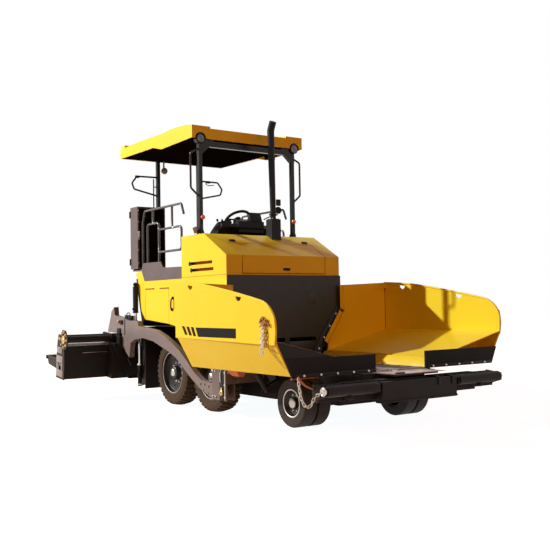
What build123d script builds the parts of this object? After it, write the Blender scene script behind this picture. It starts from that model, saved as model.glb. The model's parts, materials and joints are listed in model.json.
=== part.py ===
from build123d import *
import math
import os

# Asphalt paver on wheels, with its hopper open and its screed raised.
# Millimetres. +X is the travel direction, +Y the left side, +Z up, wheels stand on z = 0.
# Sizes below are measured from the rearmost axle. The origin of the written parts is the
# middle of the whole machine on the ground, ORIGIN_X ahead of that axle.

# Overall reach
REAR_X = -2325.0
FRONT_X = 3925.0
ORIGIN_X = (REAR_X + FRONT_X) / 2

# Width of the body, which the wheels, arms, deck, canopy and hopper keep to
BODY_HALF = 920.0
WHEEL_BAY = 370.0
FRAME_HALF = BODY_HALF - WHEEL_BAY

# Rear wheels
REAR_AXLE_X = (0.0, 1040.0)
REAR_TYRE_R = 457.0
REAR_TYRE_OUT = BODY_HALF + 41.0
REAR_TYRE_W = 245.0
REAR_BEAD_R = 292.0
REAR_HUB_R = 62.0
AXLE_STUB_R = 45.0

# Front wheels
FRONT_AXLE_X = 2816.0
FRONT_TYRE_R = 272.0
FRONT_TYRE_OUT = BODY_HALF + 37.0
FRONT_PAIR_W = 368.0
FRONT_GROOVE_W = 28.0
FRONT_GROOVE_D = 42.0
FRONT_BEAD_R = 165.0
KINGPIN_Y = FRONT_TYRE_OUT - 457.0
KINGPIN_R = 22.0
SPINDLE_R = 38.0

# Running clearances
FIT = 0.3
PIN_FIT = 0.05
SCREED_GAP = 8.0
PANEL_GAP = 8.0
EYE_DRIFT = 10.0

# Sheet and plate thicknesses
SHEET = 6.0
PLATE = 12.0
HEAVY = 20.0

# Body and hood
BODY_BOTTOM_Z = 1107.0
DECK_Z = 1763.0
HOOD_REAR_X = 254.0
HOOD_TOP_Z = 2343.0
HOOD_BREAK_X = 872.0
HOOD_NOSE_X = 1430.0
HOOD_NOSE_Z = 2030.0
LID_HALF = BODY_HALF - 240.0
LID_TOP_X = 1100.0
LID_BOTTOM_Z = 1790.0
DOOR_REAR_X = -877.0
DOOR_FRONT_X = -140.0
DOOR_TOP_Z = 1645.0

# Canopy
CANOPY_HALF = BODY_HALF + 10.0
CANOPY_FRONT_X = 610.0
CANOPY_REAR_X = -1690.0
CANOPY_WALL = 14.0
FRONT_POST_X = 550.0
FRONT_POST_Y = BODY_HALF - 140.0
REAR_POST_X = -1500.0
REAR_POST_Y = FRONT_POST_Y - 410.0
POST_SIDE = 54.0

# Hopper
WING_HINGE_Y = FRAME_HALF + 50.0
WING_HINGE_Z = 700.0
WING_HINGE_R = 24.0
WING_REAR_X = 1512.0
WING_FRONT_X = FRONT_X - 345.0
WING_OUT = 1700.0
WING_INNER_Z = 740.0
WING_CREASE_REAR_Z = 1005.0
WING_SKIRT_Y = WING_OUT - 200.0
HOPPER_WALL_X = 1440.0
FLAP_T = 26.0
FLAP_IN = WING_HINGE_Y - 220.0
FLAP_OUT = WING_SKIRT_Y
CONVEYOR_Z = 620.0
CONVEYOR_IN = 40.0
CONVEYOR_OUT = FRAME_HALF - 70.0

# Push beam
BEAM_X = WING_FRONT_X + 100.0
BEAM_DEPTH = 110.0
BEAM_HALF = BODY_HALF + 60.0
BEAM_LOW_Z = 330.0
BEAM_TOP_Z = 570.0
ROLLER_R = 60.0
ROLLER_X = FRONT_X - ROLLER_R
ROLLER_Z = 505.0
ROLLER_IN = BEAM_HALF - 370.0
ROLLER_OUT = BEAM_HALF + 310.0
BEAM_PIVOT_X = BEAM_X - 120.0

# Tow arms and screed
TOW_X = 1550.0
TOW_Z = 305.0
TOW_PIN_R = 25.0
ARM_W = 80.0
ARM_IN = REAR_TYRE_OUT + 46.5
ARM_OUT = ARM_IN + ARM_W
ARM_SIDE_GAP = 7.5
RAISE_DEG = 5.4
SCREED_Z = 15.0
SCREED_FRONT_X = -1380.0
SCREED_REAR_X = -1620.0
SCREED_HALF = 1220.0
SCREED_TOP_Z = 560.0
EXT_REAR_X = -1880.0
EXT_IN = 700.0
EXT_OUT = 1920.0
EXT_TOP_Z = 520.0
TUBE_R = 52.0
TUBE_Z = 614.0
TUBE_XS = (SCREED_REAR_X + 17, SCREED_REAR_X - 170)
WALK_REAR_X = -2335.0
FLANGE_PCD = 220.0
FLANGE_BOLTS = 8
FLANGE_R = 155.0
FLANGE_HOLE_R = 9.0

# Augers
AUGER_X = -1020.0
AUGER_Z = 372.0
AUGER_R = 175.0
AUGER_SHAFT_R = 40.0
AUGER_OUT = BODY_HALF + 10.0

# Cylinders
LIFT_X = -1130.0
LIFT_Y = BODY_HALF + 42.0
LIFT_TOP_Z = 1720.0
LIFT_LOW_Z = 1150.0
WING_CYL_X = 2050.0
WING_CYL_LOW = (WING_HINGE_Y + 150.0, 350.0)
WING_CYL_TOP_Y = WING_HINGE_Y + 450.0
WING_CYL_TOP_Z = 790.0


# Shapes used by many pieces

def block(x0, x1, y0, y1, z0, z1):
    """A box from its six limits."""
    mid = ((x0 + x1) / 2, (y0 + y1) / 2, (z0 + z1) / 2)
    return Pos(*mid) * Box(abs(x1 - x0), abs(y1 - y0), abs(z1 - z0))


def side_plate(points, y0, y1):
    """A plate seen from the side: (x, z) corners, thick from y0 to y1."""
    face = make_face(Polyline(*[(x, y0, z) for x, z in points], close=True))
    return extrude(face, amount=y1 - y0, dir=(0, 1, 0))


def cross_plate(points, x0, x1):
    """A plate seen from the front: (y, z) corners, thick from x0 to x1."""
    face = make_face(Polyline(*[(x0, y, z) for y, z in points], close=True))
    return extrude(face, amount=x1 - x0, dir=(1, 0, 0))


def flat_plate(points, z0, z1):
    """A plate seen from above: (x, y) corners, thick from z0 to z1."""
    face = make_face(Polyline(*[(x, y, z0) for x, y in points], close=True))
    return extrude(face, amount=z1 - z0, dir=(0, 0, 1))


def octagon(middle_x, middle_z, r):
    """Corners of an upright octagon with flat sides, (x, z)."""
    turns = [math.pi / 8 + math.pi / 4 * step for step in range(8)]
    return [(middle_x + r * math.cos(turn), middle_z + r * math.sin(turn)) for turn in turns]


def rod_y(x, z, r, y0, y1):
    """A round bar across the machine."""
    bar = Cylinder(r, abs(y1 - y0), rotation=(90, 0, 0))
    return Pos(x, (y0 + y1) / 2, z) * bar


def rod_z(x, y, r, z0, z1):
    """An upright round bar."""
    return Pos(x, y, (z0 + z1) / 2) * Cylinder(r, abs(z1 - z0))


def rod_x(y, z, r, x0, x1):
    """A round bar along the machine."""
    bar = Cylinder(r, abs(x1 - x0), rotation=(0, 90, 0))
    return Pos((x0 + x1) / 2, y, z) * bar


def pipe(points, bend, r):
    """A round tube bent round its corners with one bend radius."""
    path = FilletPolyline(*points, radius=bend)
    return sweep(Plane(origin=path @ 0, z_dir=path % 0) * Circle(r), path=path)


def other_side(shape):
    """The same piece on the other side of the machine."""
    return mirror(shape, about=Plane.XZ)


def both(shape):
    """A piece with its twin on the other side."""
    return [shape, other_side(shape)]


def spun(profile, x, z):
    """A round piece about an axle at (x, z): (y, radius) corners, turned round Y."""
    face = make_face(Polyline(*[(x + r, y, z) for y, r in profile], close=True))
    return revolve(face, axis=Axis((x, 0, z), (0, 1, 0)))


nodes = {}


def keep(name, *shapes):
    """Joins the shapes of one piece and files it under its name."""
    whole = shapes[0]
    for shape in shapes[1:]:
        whole = whole + shape
    nodes[name] = whole


# Rear wheels, on the right side and mirrored for the left

def rear_tyre(x):
    out, wide = REAR_TYRE_OUT, REAR_TYRE_W
    inner = out - wide
    shoulder, sidewall = 26.0, 14.0
    return spun(
        [
            (-inner - sidewall, REAR_BEAD_R),
            (-inner, (REAR_BEAD_R + REAR_TYRE_R) / 2),
            (-inner - shoulder, REAR_TYRE_R - 12),
            (-inner - 2 * shoulder, REAR_TYRE_R),
            (-out + 2 * shoulder, REAR_TYRE_R),
            (-out + shoulder, REAR_TYRE_R - 12),
            (-out, (REAR_BEAD_R + REAR_TYRE_R) / 2),
            (-out + sidewall, REAR_BEAD_R),
        ],
        x,
        REAR_TYRE_R,
    )


def rear_rim(x):
    out = REAR_TYRE_OUT - 16
    inner = REAR_TYRE_OUT - REAR_TYRE_W + 16
    seat = REAR_BEAD_R - FIT
    lip, dish = seat - 14, 95.0
    mid = out - dish
    disc = 14.0
    return spun(
        [
            (-out, seat),
            (-out, lip),
            (-mid - 40, lip - 12),
            (-mid - disc, 170.0),
            (-mid - disc, REAR_HUB_R + 40),
            (-out + 20, REAR_HUB_R + 22),
            (-out + 8, REAR_HUB_R),
            (-out + 8, 0.0),
            (-mid, 0.0),
            (-mid, AXLE_STUB_R + FIT),
            (-inner - 20, AXLE_STUB_R + FIT),
            (-inner - 20, REAR_HUB_R + 30),
            (-mid, REAR_HUB_R + 30),
            (-mid, 170.0),
            (-mid - 30, lip - 20),
            (-inner, lip),
            (-inner, seat),
        ],
        x,
        REAR_TYRE_R,
    )


for number, axle_x in enumerate(REAR_AXLE_X, start=1):
    tyre = rear_tyre(axle_x)
    rim = rear_rim(axle_x)
    keep(f"rear_tyre_right_{number}", tyre)
    keep(f"rear_tyre_left_{number}", other_side(tyre))
    keep(f"rear_rim_right_{number}", rim)
    keep(f"rear_rim_left_{number}", other_side(rim))

# Bogies: a beam on each side between the two rear wheels, with stub axles, joined by the axle tube

BOGIE_IN = FRAME_HALF + 40.0
BOGIE_OUT = REAR_TYRE_OUT - REAR_TYRE_W - 26.0
AXLE_TUBE_R = 70.0
STUB_END = REAR_TYRE_OUT - 16 - 95.0 - 1
bogie_mid_x = sum(REAR_AXLE_X) / 2
bogie = [block(REAR_AXLE_X[0] - 90, REAR_AXLE_X[1] + 90, -BOGIE_OUT, -BOGIE_IN, 380, 530)]
for axle_x in REAR_AXLE_X:
    bogie.append(rod_y(axle_x, REAR_TYRE_R, AXLE_STUB_R, -STUB_END, -BOGIE_IN))
    bogie.append(rod_y(axle_x, REAR_TYRE_R, 105, -BOGIE_OUT - 18, -BOGIE_IN))
bogie_side = bogie[0]
for piece in bogie[1:]:
    bogie_side = bogie_side + piece
axle_tube = rod_y(bogie_mid_x, REAR_TYRE_R, AXLE_TUBE_R, -BOGIE_IN, BOGIE_IN)
keep("rear_bogies", axle_tube, bogie_side, other_side(bogie_side))

# Front wheels: twin solid tyres on one hub, on a knuckle that turns on a kingpin

front_in = FRONT_TYRE_OUT - FRONT_PAIR_W
front_mid = (FRONT_TYRE_OUT + front_in) / 2
chamfer_w = 14.0
front_tyres = spun(
    [
        (-front_in, FRONT_BEAD_R),
        (-front_in, FRONT_TYRE_R - chamfer_w),
        (-front_in - chamfer_w, FRONT_TYRE_R),
        (-front_mid + FRONT_GROOVE_W / 2, FRONT_TYRE_R),
        (-front_mid + FRONT_GROOVE_W / 2, FRONT_TYRE_R - FRONT_GROOVE_D),
        (-front_mid - FRONT_GROOVE_W / 2, FRONT_TYRE_R - FRONT_GROOVE_D),
        (-front_mid - FRONT_GROOVE_W / 2, FRONT_TYRE_R),
        (-FRONT_TYRE_OUT + chamfer_w, FRONT_TYRE_R),
        (-FRONT_TYRE_OUT, FRONT_TYRE_R - chamfer_w),
        (-FRONT_TYRE_OUT, FRONT_BEAD_R),
    ],
    FRONT_AXLE_X,
    FRONT_TYRE_R,
)
hub_seat = FRONT_BEAD_R - FIT
hub_face = FRONT_TYRE_OUT - 60.0
SPINDLE_END = FRONT_TYRE_OUT - 95.0
front_hub = spun(
    [
        (-FRONT_TYRE_OUT + 12, hub_seat),
        (-FRONT_TYRE_OUT + 12, hub_seat - 14),
        (-hub_face, 120.0),
        (-hub_face, 66.0),
        (-FRONT_TYRE_OUT + 22, 56.0),
        (-FRONT_TYRE_OUT + 22, 0.0),
        (-SPINDLE_END - 1, 0.0),
        (-SPINDLE_END - 1, SPINDLE_R + FIT),
        (-front_in - 60, SPINDLE_R + FIT),
        (-front_in - 60, 80.0),
        (-hub_face + 40, 90.0),
        (-hub_face + 40, hub_seat - 22),
        (-front_in - 14, hub_seat - 14),
        (-front_in - 14, hub_seat),
    ],
    FRONT_AXLE_X,
    FRONT_TYRE_R,
)
keep("front_tyres_right", front_tyres)
keep("front_tyres_left", other_side(front_tyres))
keep("front_hub_right", front_hub)
keep("front_hub_left", other_side(front_hub))

EAR_R = 46.0
EAR_T = 26.0
EYE_LOW_Z = FRONT_TYRE_R - 68.0
EYE_TOP_Z = FRONT_TYRE_R + 68.0
knuckle = rod_z(FRONT_AXLE_X, -KINGPIN_Y, KINGPIN_R, EYE_LOW_Z - EAR_T, EYE_TOP_Z + EAR_T)
for low in (EYE_LOW_Z - EAR_T - 1, EYE_TOP_Z + 1):
    knuckle = knuckle + rod_z(FRONT_AXLE_X, -KINGPIN_Y, EAR_R, low, low + EAR_T)
    knuckle = knuckle + block(
        FRONT_AXLE_X - 34, FRONT_AXLE_X + 34, -KINGPIN_Y - 78, -KINGPIN_Y, low, low + EAR_T
    )
knuckle = knuckle + block(
    FRONT_AXLE_X - 44,
    FRONT_AXLE_X + 44,
    -KINGPIN_Y - 78,
    -KINGPIN_Y - EAR_R - 5,
    EYE_LOW_Z - EAR_T - 1,
    EYE_TOP_Z + EAR_T + 1,
)
knuckle = knuckle + rod_y(
    FRONT_AXLE_X, FRONT_TYRE_R, SPINDLE_R, -SPINDLE_END, -KINGPIN_Y - EAR_R - 6
)
keep("knuckle_right", knuckle)
keep("knuckle_left", other_side(knuckle))

AXLE_HALF = KINGPIN_Y - 190.0
axle_eye = rod_z(FRONT_AXLE_X, -KINGPIN_Y, EAR_R, EYE_LOW_Z, EYE_TOP_Z)
axle_eye = axle_eye + block(
    FRONT_AXLE_X - 50, FRONT_AXLE_X + 50, -KINGPIN_Y, -AXLE_HALF + 10, FRONT_TYRE_R - 60, FRONT_TYRE_R + 60
)
kingpin_hole = rod_z(
    FRONT_AXLE_X, -KINGPIN_Y, KINGPIN_R + PIN_FIT, EYE_LOW_Z - 1, EYE_TOP_Z + 1
)
axle_eye = axle_eye - kingpin_hole
FRAME_FRONT_LOW_Z = 430.0
front_axle = block(
    FRONT_AXLE_X - 60, FRONT_AXLE_X + 60, -AXLE_HALF, AXLE_HALF, FRONT_TYRE_R - 75, FRONT_TYRE_R + 75
)
axle_saddle = block(
    FRONT_AXLE_X - 90, FRONT_AXLE_X + 90, -90, 90, FRONT_TYRE_R + 60, FRAME_FRONT_LOW_Z
)
keep("front_axle", front_axle, axle_saddle, axle_eye, other_side(axle_eye))

# Main frame: side plates with the conveyor tunnel between them, belly, body floor and rear pillars

HOPPER_FLOOR_HALF = WING_HINGE_Y - 30.0
FLOOR_LOW_Z = CONVEYOR_Z - 24.0
FLOOR_TOP_Z = CONVEYOR_Z - 8.0
TUNNEL_SIDE_LOW_Z = 500.0
TUNNEL_ROOF_Z = 1050.0
BELLY_Z = 215.0
BELLY_REAR_X = 420.0
FRAME_REAR_X = -760.0
FRAME_JOINT_X = 1950.0
BODY_FLOOR_REAR_X = -960.0
BODY_IN = BODY_HALF - SHEET
side_outline = [
    (FRAME_REAR_X, TUNNEL_SIDE_LOW_Z),
    (BELLY_REAR_X - 170, TUNNEL_SIDE_LOW_Z),
    (BELLY_REAR_X, BELLY_Z),
    (FRAME_JOINT_X, BELLY_Z),
    (FRAME_JOINT_X, FLOOR_LOW_Z),
    (HOPPER_WALL_X, FLOOR_LOW_Z),
    (HOPPER_WALL_X, BODY_BOTTOM_Z),
    (FRAME_REAR_X, BODY_BOTTOM_Z),
]
frame_side = side_plate(side_outline, -FRAME_HALF, -FRAME_HALF + HEAVY)
frame_parts = [
    block(FRAME_REAR_X, HOPPER_WALL_X, -FRAME_HALF, FRAME_HALF, FLOOR_LOW_Z, FLOOR_TOP_Z),
    block(HOPPER_WALL_X, FRAME_JOINT_X, -HOPPER_FLOOR_HALF, HOPPER_FLOOR_HALF, FLOOR_LOW_Z, FLOOR_TOP_Z),
    block(FRAME_REAR_X, HOPPER_WALL_X, -FRAME_HALF, FRAME_HALF, TUNNEL_ROOF_Z, TUNNEL_ROOF_Z + PLATE),
    block(BELLY_REAR_X, FRAME_JOINT_X, -FRAME_HALF, FRAME_HALF, BELLY_Z, BELLY_Z + PLATE),
    block(FRAME_JOINT_X - PLATE, FRAME_JOINT_X, -FRAME_HALF, FRAME_HALF, BELLY_Z, FLOOR_LOW_Z),
    block(BODY_FLOOR_REAR_X, HOPPER_WALL_X, -BODY_HALF, BODY_HALF, BODY_BOTTOM_Z - PLATE, BODY_BOTTOM_Z),
]
frame_parts += both(frame_side)
PIN_R = 16.0
pillar = side_plate(
    [(-1010, 1100), (-950, 1100), (-950, 1300), (-1060, 1810), (-1200, 1810), (-1180, 1700)],
    -BODY_IN + 2,
    -BODY_IN + 2 + PLATE,
)
frame_parts += both(pillar)
frame_parts += both(rod_y(LIFT_X, LIFT_TOP_Z, PIN_R, -LIFT_Y - 32, -BODY_IN + 6))
rear_wall_outline = [
    (-1133, 1750),
    (-1014, 1318),
    (-960, 1262),
    (-960, 1100),
    (-960 + PLATE, 1100),
    (-960 + PLATE, 1268),
    (-1014 + PLATE, 1324),
    (-1133 + PLATE, 1750),
]
frame_parts.append(side_plate(rear_wall_outline, -BODY_IN + 2, BODY_IN - 2))
keep("main_frame", *frame_parts)
axle_tube_hole = rod_y(
    bogie_mid_x, REAR_TYRE_R, AXLE_TUBE_R + FIT, -FRAME_HALF - 1, FRAME_HALF + 1
)
nodes["main_frame"] = nodes["main_frame"] - axle_tube_hole

# Tow brackets: a stub beam on each side of the main frame, two cheeks and the pin between them

CHEEK = 16.0
CHEEK_REAR_X = 1465.0
CHEEK_FRONT_X = 1700.0
CHEEK_Z = (210.0, 610.0)
STUB_X = (1520.0, 1700.0)
STUB_Z = (420.0, 540.0)
GUARD_REAR_X = 1360.0
EYE_HOLE_R = 22.0
EYE_T = 24.0
EYE_X = 1745.0
EYE_Z = 480.0
EYE_Y = ARM_IN - 19.5
cheek_out = ARM_OUT + ARM_SIDE_GAP
cheek_outline = [
    (CHEEK_REAR_X, CHEEK_Z[0]),
    (CHEEK_FRONT_X, CHEEK_Z[0]),
    (CHEEK_FRONT_X, CHEEK_Z[1]),
    (CHEEK_REAR_X, CHEEK_Z[1]),
]
tow_bracket = block(*STUB_X, -cheek_out, -FRAME_HALF, *STUB_Z)
for low_y in (-ARM_IN + ARM_SIDE_GAP, -cheek_out - CHEEK):
    tow_bracket = tow_bracket + side_plate(cheek_outline, low_y, low_y + CHEEK)
guard = block(GUARD_REAR_X, CHEEK_REAR_X + 5, -cheek_out - CHEEK, -cheek_out, *CHEEK_Z)
tow_pin = rod_y(TOW_X, TOW_Z, TOW_PIN_R, -cheek_out - CHEEK - 14, -ARM_IN + ARM_SIDE_GAP + CHEEK)
tie_down = side_plate(
    [
        (CHEEK_FRONT_X - 10, EYE_Z - 50),
        (EYE_X + 45, EYE_Z - 50),
        (EYE_X + 45, EYE_Z + 50),
        (CHEEK_FRONT_X - 10, EYE_Z + 50),
    ],
    -EYE_Y - EYE_T / 2,
    -EYE_Y + EYE_T / 2,
)
tie_down = tie_down - rod_y(EYE_X, EYE_Z, EYE_HOLE_R, -EYE_Y - EYE_T, -EYE_Y + EYE_T)
tow_bracket = tow_bracket + guard + tow_pin + tie_down
keep("tow_brackets", tow_bracket, other_side(tow_bracket))

# Front frame: hopper floor over the front axle, wing hinge pins, wing cylinder ears and push beam pivot

FRONT_FRAME_HALF = FRAME_HALF - 150.0
DECK_FRONT_X = BEAM_PIVOT_X
cyl_low_y, cyl_low_z = WING_CYL_LOW
CYL_EYE_R = 38.0
CYL_EYE_W = 76.0
ear_outer = CYL_EYE_W / 2 + 2 + PLATE
ear_xs = (WING_CYL_X - ear_outer, WING_CYL_X + ear_outer - PLATE)
front_side = side_plate(
    [
        (FRAME_JOINT_X, 300),
        (FRAME_JOINT_X + 50, 300),
        (FRAME_JOINT_X + 380, FRAME_FRONT_LOW_Z),
        (DECK_FRONT_X, FRAME_FRONT_LOW_Z),
        (DECK_FRONT_X, FLOOR_LOW_Z),
        (FRAME_JOINT_X, FLOOR_LOW_Z),
    ],
    -FRONT_FRAME_HALF,
    -FRONT_FRAME_HALF + HEAVY,
)
front_parts = [
    block(FRAME_JOINT_X, DECK_FRONT_X, -HOPPER_FLOOR_HALF, HOPPER_FLOOR_HALF, FLOOR_LOW_Z, FLOOR_TOP_Z),
    block(
        DECK_FRONT_X - 40, DECK_FRONT_X, -FRONT_FRAME_HALF, FRONT_FRAME_HALF, FRAME_FRONT_LOW_Z, FLOOR_LOW_Z
    ),
    block(
        FRONT_AXLE_X - 95,
        FRONT_AXLE_X + 95,
        -FRONT_FRAME_HALF + 5,
        FRONT_FRAME_HALF - 5,
        FRAME_FRONT_LOW_Z,
        FRAME_FRONT_LOW_Z + HEAVY,
    ),
]
front_parts += both(front_side)
for ear_x in ear_xs:
    ear = cross_plate(
        [
            (-FRONT_FRAME_HALF + 10, 330),
            (-cyl_low_y - CYL_EYE_R, cyl_low_z - CYL_EYE_R),
            (-cyl_low_y - CYL_EYE_R, cyl_low_z + CYL_EYE_R),
            (-FRONT_FRAME_HALF + 10, 560),
        ],
        ear_x,
        ear_x + PLATE,
    )
    front_parts += both(ear)
front_parts += both(
    rod_x(-cyl_low_y, cyl_low_z, PIN_R, WING_CYL_X - ear_outer, WING_CYL_X + ear_outer)
)
HINGE_PIN_R = 14.0
HINGE_LUG = 16.0
HINGE_LENGTH = 80.0
HINGE_XS = (FRAME_JOINT_X + 30, (FRAME_JOINT_X + WING_FRONT_X) / 2 - 65, WING_FRONT_X - 140)
for x0 in HINGE_XS:
    lug = cross_plate(
        [
            (-WING_HINGE_Y - 20, WING_HINGE_Z - 20),
            (-WING_HINGE_Y + 22, WING_HINGE_Z - 20),
            (-WING_HINGE_Y + 22, WING_HINGE_Z + 14),
            (-WING_HINGE_Y - 20, WING_HINGE_Z + 14),
        ],
        x0,
        x0 + HINGE_LUG,
    )
    post = block(x0, x0 + HINGE_LUG, -WING_HINGE_Y + 2, -WING_HINGE_Y + 42, FLOOR_LOW_Z + 4, WING_HINGE_Z)
    front_parts += both(lug + post)
    front_parts += both(rod_x(-WING_HINGE_Y, WING_HINGE_Z, HINGE_PIN_R, x0, x0 + HINGE_LENGTH))
PIVOT_R = 45.0
APRON_HALF = FRONT_FRAME_HALF - 70.0
front_parts.append(rod_z(BEAM_PIVOT_X, 0, PIVOT_R, BEAM_LOW_Z - 10, FRAME_FRONT_LOW_Z + 10))
front_parts.append(rod_z(BEAM_PIVOT_X, 0, PIVOT_R + 20, BEAM_LOW_Z - 14, BEAM_LOW_Z + 8))
front_parts.append(
    block(DECK_FRONT_X - 20, BEAM_X + 160, -APRON_HALF, APRON_HALF, FLOOR_LOW_Z, FLOOR_TOP_Z)
)
keep("front_frame", *front_parts)

# Auger frame behind the rear wheels: beam, hangers with the auger bearings, and limit plates

BEAM_BACK_X = FRAME_REAR_X - 140.0
AUGER_BEAM_Z = (965.0, 1085.0)
LIMIT_LOW_Z = 180.0
# Hangers: low y, thickness
hangers = ((-AUGER_OUT - PLATE, PLATE), (-HEAVY / 2, HEAVY), (AUGER_OUT, PLATE))
auger_frame = [block(BEAM_BACK_X, FRAME_REAR_X, -AUGER_OUT, AUGER_OUT, *AUGER_BEAM_Z)]
for low_y, thick in hangers:
    hanger = side_plate(
        [
            (FRAME_REAR_X, AUGER_BEAM_Z[1]),
            (FRAME_REAR_X - 60, AUGER_BEAM_Z[0] - 40),
            (AUGER_X + 60, AUGER_Z - 60),
            (AUGER_X - 60, AUGER_Z - 60),
            (AUGER_X - 60, AUGER_Z + 60),
            (BEAM_BACK_X - 40, AUGER_BEAM_Z[0] - 40),
            (BEAM_BACK_X - 40, AUGER_BEAM_Z[1]),
        ],
        low_y,
        low_y + thick,
    )
    auger_frame.append(hanger)
auger_frame += both(
    block(
        FRAME_REAR_X - 20,
        FRAME_REAR_X,
        -AUGER_OUT - 60,
        -FRAME_HALF + HEAVY,
        LIMIT_LOW_Z,
        AUGER_BEAM_Z[0] + 35,
    )
)
HEIGHT_CYL_X = AUGER_X + 30.0
height_cyl = rod_z(HEIGHT_CYL_X, -AUGER_OUT - 42, 30, LIMIT_LOW_Z + 20, 540)
height_cyl = height_cyl + rod_z(HEIGHT_CYL_X, -AUGER_OUT - 42, 20, 530, 950)
height_foot = block(
    HEIGHT_CYL_X - 30, HEIGHT_CYL_X + 30, -AUGER_OUT - 70, -AUGER_OUT - PLATE + 2, AUGER_Z - 30, AUGER_Z + 30
)
height_head = block(
    HEIGHT_CYL_X - 30, FRAME_REAR_X - 100, -AUGER_OUT - 70, -AUGER_OUT + 10, 930, AUGER_BEAM_Z[0] + 20
)
auger_frame += both(height_cyl + height_foot + height_head)
keep("auger_frame", *auger_frame)

# Engine block, under the hood
ENGINE_REAR_X = HOOD_REAR_X + 106.0
ENGINE_FRONT_X = HOOD_NOSE_X - 180.0
ENGINE_HALF = BODY_HALF - 520.0
ENGINE_TOP_Z = HOOD_TOP_Z - 363.0
HEAD_H = 200.0
keep(
    "engine_block",
    block(ENGINE_REAR_X, ENGINE_FRONT_X, -ENGINE_HALF, ENGINE_HALF, BODY_BOTTOM_Z, ENGINE_TOP_Z - HEAD_H),
    block(
        ENGINE_REAR_X + 60,
        ENGINE_FRONT_X - 150,
        -ENGINE_HALF + 140,
        ENGINE_HALF - 140,
        ENGINE_TOP_Z - HEAD_H,
        ENGINE_TOP_Z,
    ),
)

# Hood: side walls, top and rear wall round the engine, open where the front lid shuts

hood_outline = [
    (HOOD_REAR_X, DECK_Z),
    (HOOD_REAR_X, HOOD_TOP_Z),
    (HOOD_BREAK_X, HOOD_TOP_Z),
    (HOOD_NOSE_X, HOOD_NOSE_Z),
    (HOOD_NOSE_X, DECK_Z),
]
slope = (HOOD_TOP_Z - HOOD_NOSE_Z) / (HOOD_NOSE_X - HOOD_BREAK_X)
hood_inside = [
    (HOOD_REAR_X + SHEET, DECK_Z - 5),
    (HOOD_REAR_X + SHEET, HOOD_TOP_Z - SHEET),
    (HOOD_BREAK_X - 2, HOOD_TOP_Z - SHEET),
    (HOOD_NOSE_X - SHEET, HOOD_NOSE_Z - 4),
    (HOOD_NOSE_X - SHEET, DECK_Z - 5),
]
hood = side_plate(hood_outline, -BODY_HALF, BODY_HALF)
hood = hood - side_plate(hood_inside, -BODY_HALF + SHEET, BODY_HALF - SHEET)
lid_top_z = HOOD_TOP_Z - slope * (LID_TOP_X - HOOD_BREAK_X)
lid_cut = side_plate(
    [
        (LID_TOP_X, lid_top_z + 60),
        (LID_TOP_X, lid_top_z - 60),
        (HOOD_NOSE_X - 40, HOOD_NOSE_Z - 60),
        (HOOD_NOSE_X - 40, LID_BOTTOM_Z),
        (HOOD_NOSE_X + 40, LID_BOTTOM_Z),
        (HOOD_NOSE_X + 40, HOOD_NOSE_Z + 60),
    ],
    -LID_HALF,
    LID_HALF,
)
hood = hood - lid_cut
LID_HINGE_R = 6.0
hood = hood - rod_y(LID_TOP_X, lid_top_z, LID_HINGE_R + FIT, -LID_HALF, LID_HALF)
# Intake slots on each side: (rear x, front x, middle z)
SLOTS = ((480.0, 1080.0, 1955.0), (520.0, 1110.0, 1865.0))
SLOT_H = 40.0
for x0, x1, z in SLOTS:
    hood = hood - block(x0, x1, -BODY_HALF - 5, -BODY_HALF + SHEET + 5, z - SLOT_H / 2, z + SLOT_H / 2)
    hood = hood - block(x0, x1, BODY_HALF - SHEET - 5, BODY_HALF + 5, z - SLOT_H / 2, z + SLOT_H / 2)
keep("hood_shell", hood)

lid = side_plate(
    [
        (LID_TOP_X + FIT, lid_top_z - slope * FIT),
        (HOOD_NOSE_X, HOOD_NOSE_Z),
        (HOOD_NOSE_X, LID_BOTTOM_Z + PANEL_GAP),
        (HOOD_NOSE_X - SHEET, LID_BOTTOM_Z + PANEL_GAP),
        (HOOD_NOSE_X - SHEET, HOOD_NOSE_Z - 4),
        (LID_TOP_X + FIT, lid_top_z - slope * FIT - SHEET),
    ],
    -LID_HALF + PANEL_GAP,
    LID_HALF - PANEL_GAP,
)
for barrel_y in (-LID_HALF + 120, LID_HALF - 280):
    lid = lid + rod_y(LID_TOP_X, lid_top_z, LID_HINGE_R, barrel_y, barrel_y + 160)
keep("hood_lid", lid)

# Rear body shell: one sheet on each side under the hood and platform, with a door opening

body_outline = [
    (HOOD_NOSE_X, BODY_BOTTOM_Z),
    (HOOD_NOSE_X, DECK_Z),
    (-902, DECK_Z),
    (-1005, 1927),
    (-1215, 1888),
    (-1133, 1812),
    (-1014, 1318),
    (-888, 1189),
    (-129, 1132),
    (42, BODY_BOTTOM_Z),
]
door_opening = [
    (DOOR_REAR_X - PANEL_GAP, DOOR_TOP_Z + FIT),
    (DOOR_FRONT_X + PANEL_GAP, DOOR_TOP_Z + FIT),
    (DOOR_FRONT_X + PANEL_GAP, BODY_BOTTOM_Z),
    (DOOR_REAR_X - PANEL_GAP, BODY_BOTTOM_Z),
]
door_outline = [
    (DOOR_REAR_X, DOOR_TOP_Z),
    (DOOR_FRONT_X, DOOR_TOP_Z),
    (DOOR_FRONT_X, 1136),
    (DOOR_REAR_X, 1192),
]
body_side = side_plate(body_outline, -BODY_HALF, -BODY_IN)
body_side = body_side - side_plate(door_opening, -BODY_HALF - 5, -BODY_IN + 5)
DOOR_HINGE_R = 7.0
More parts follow.
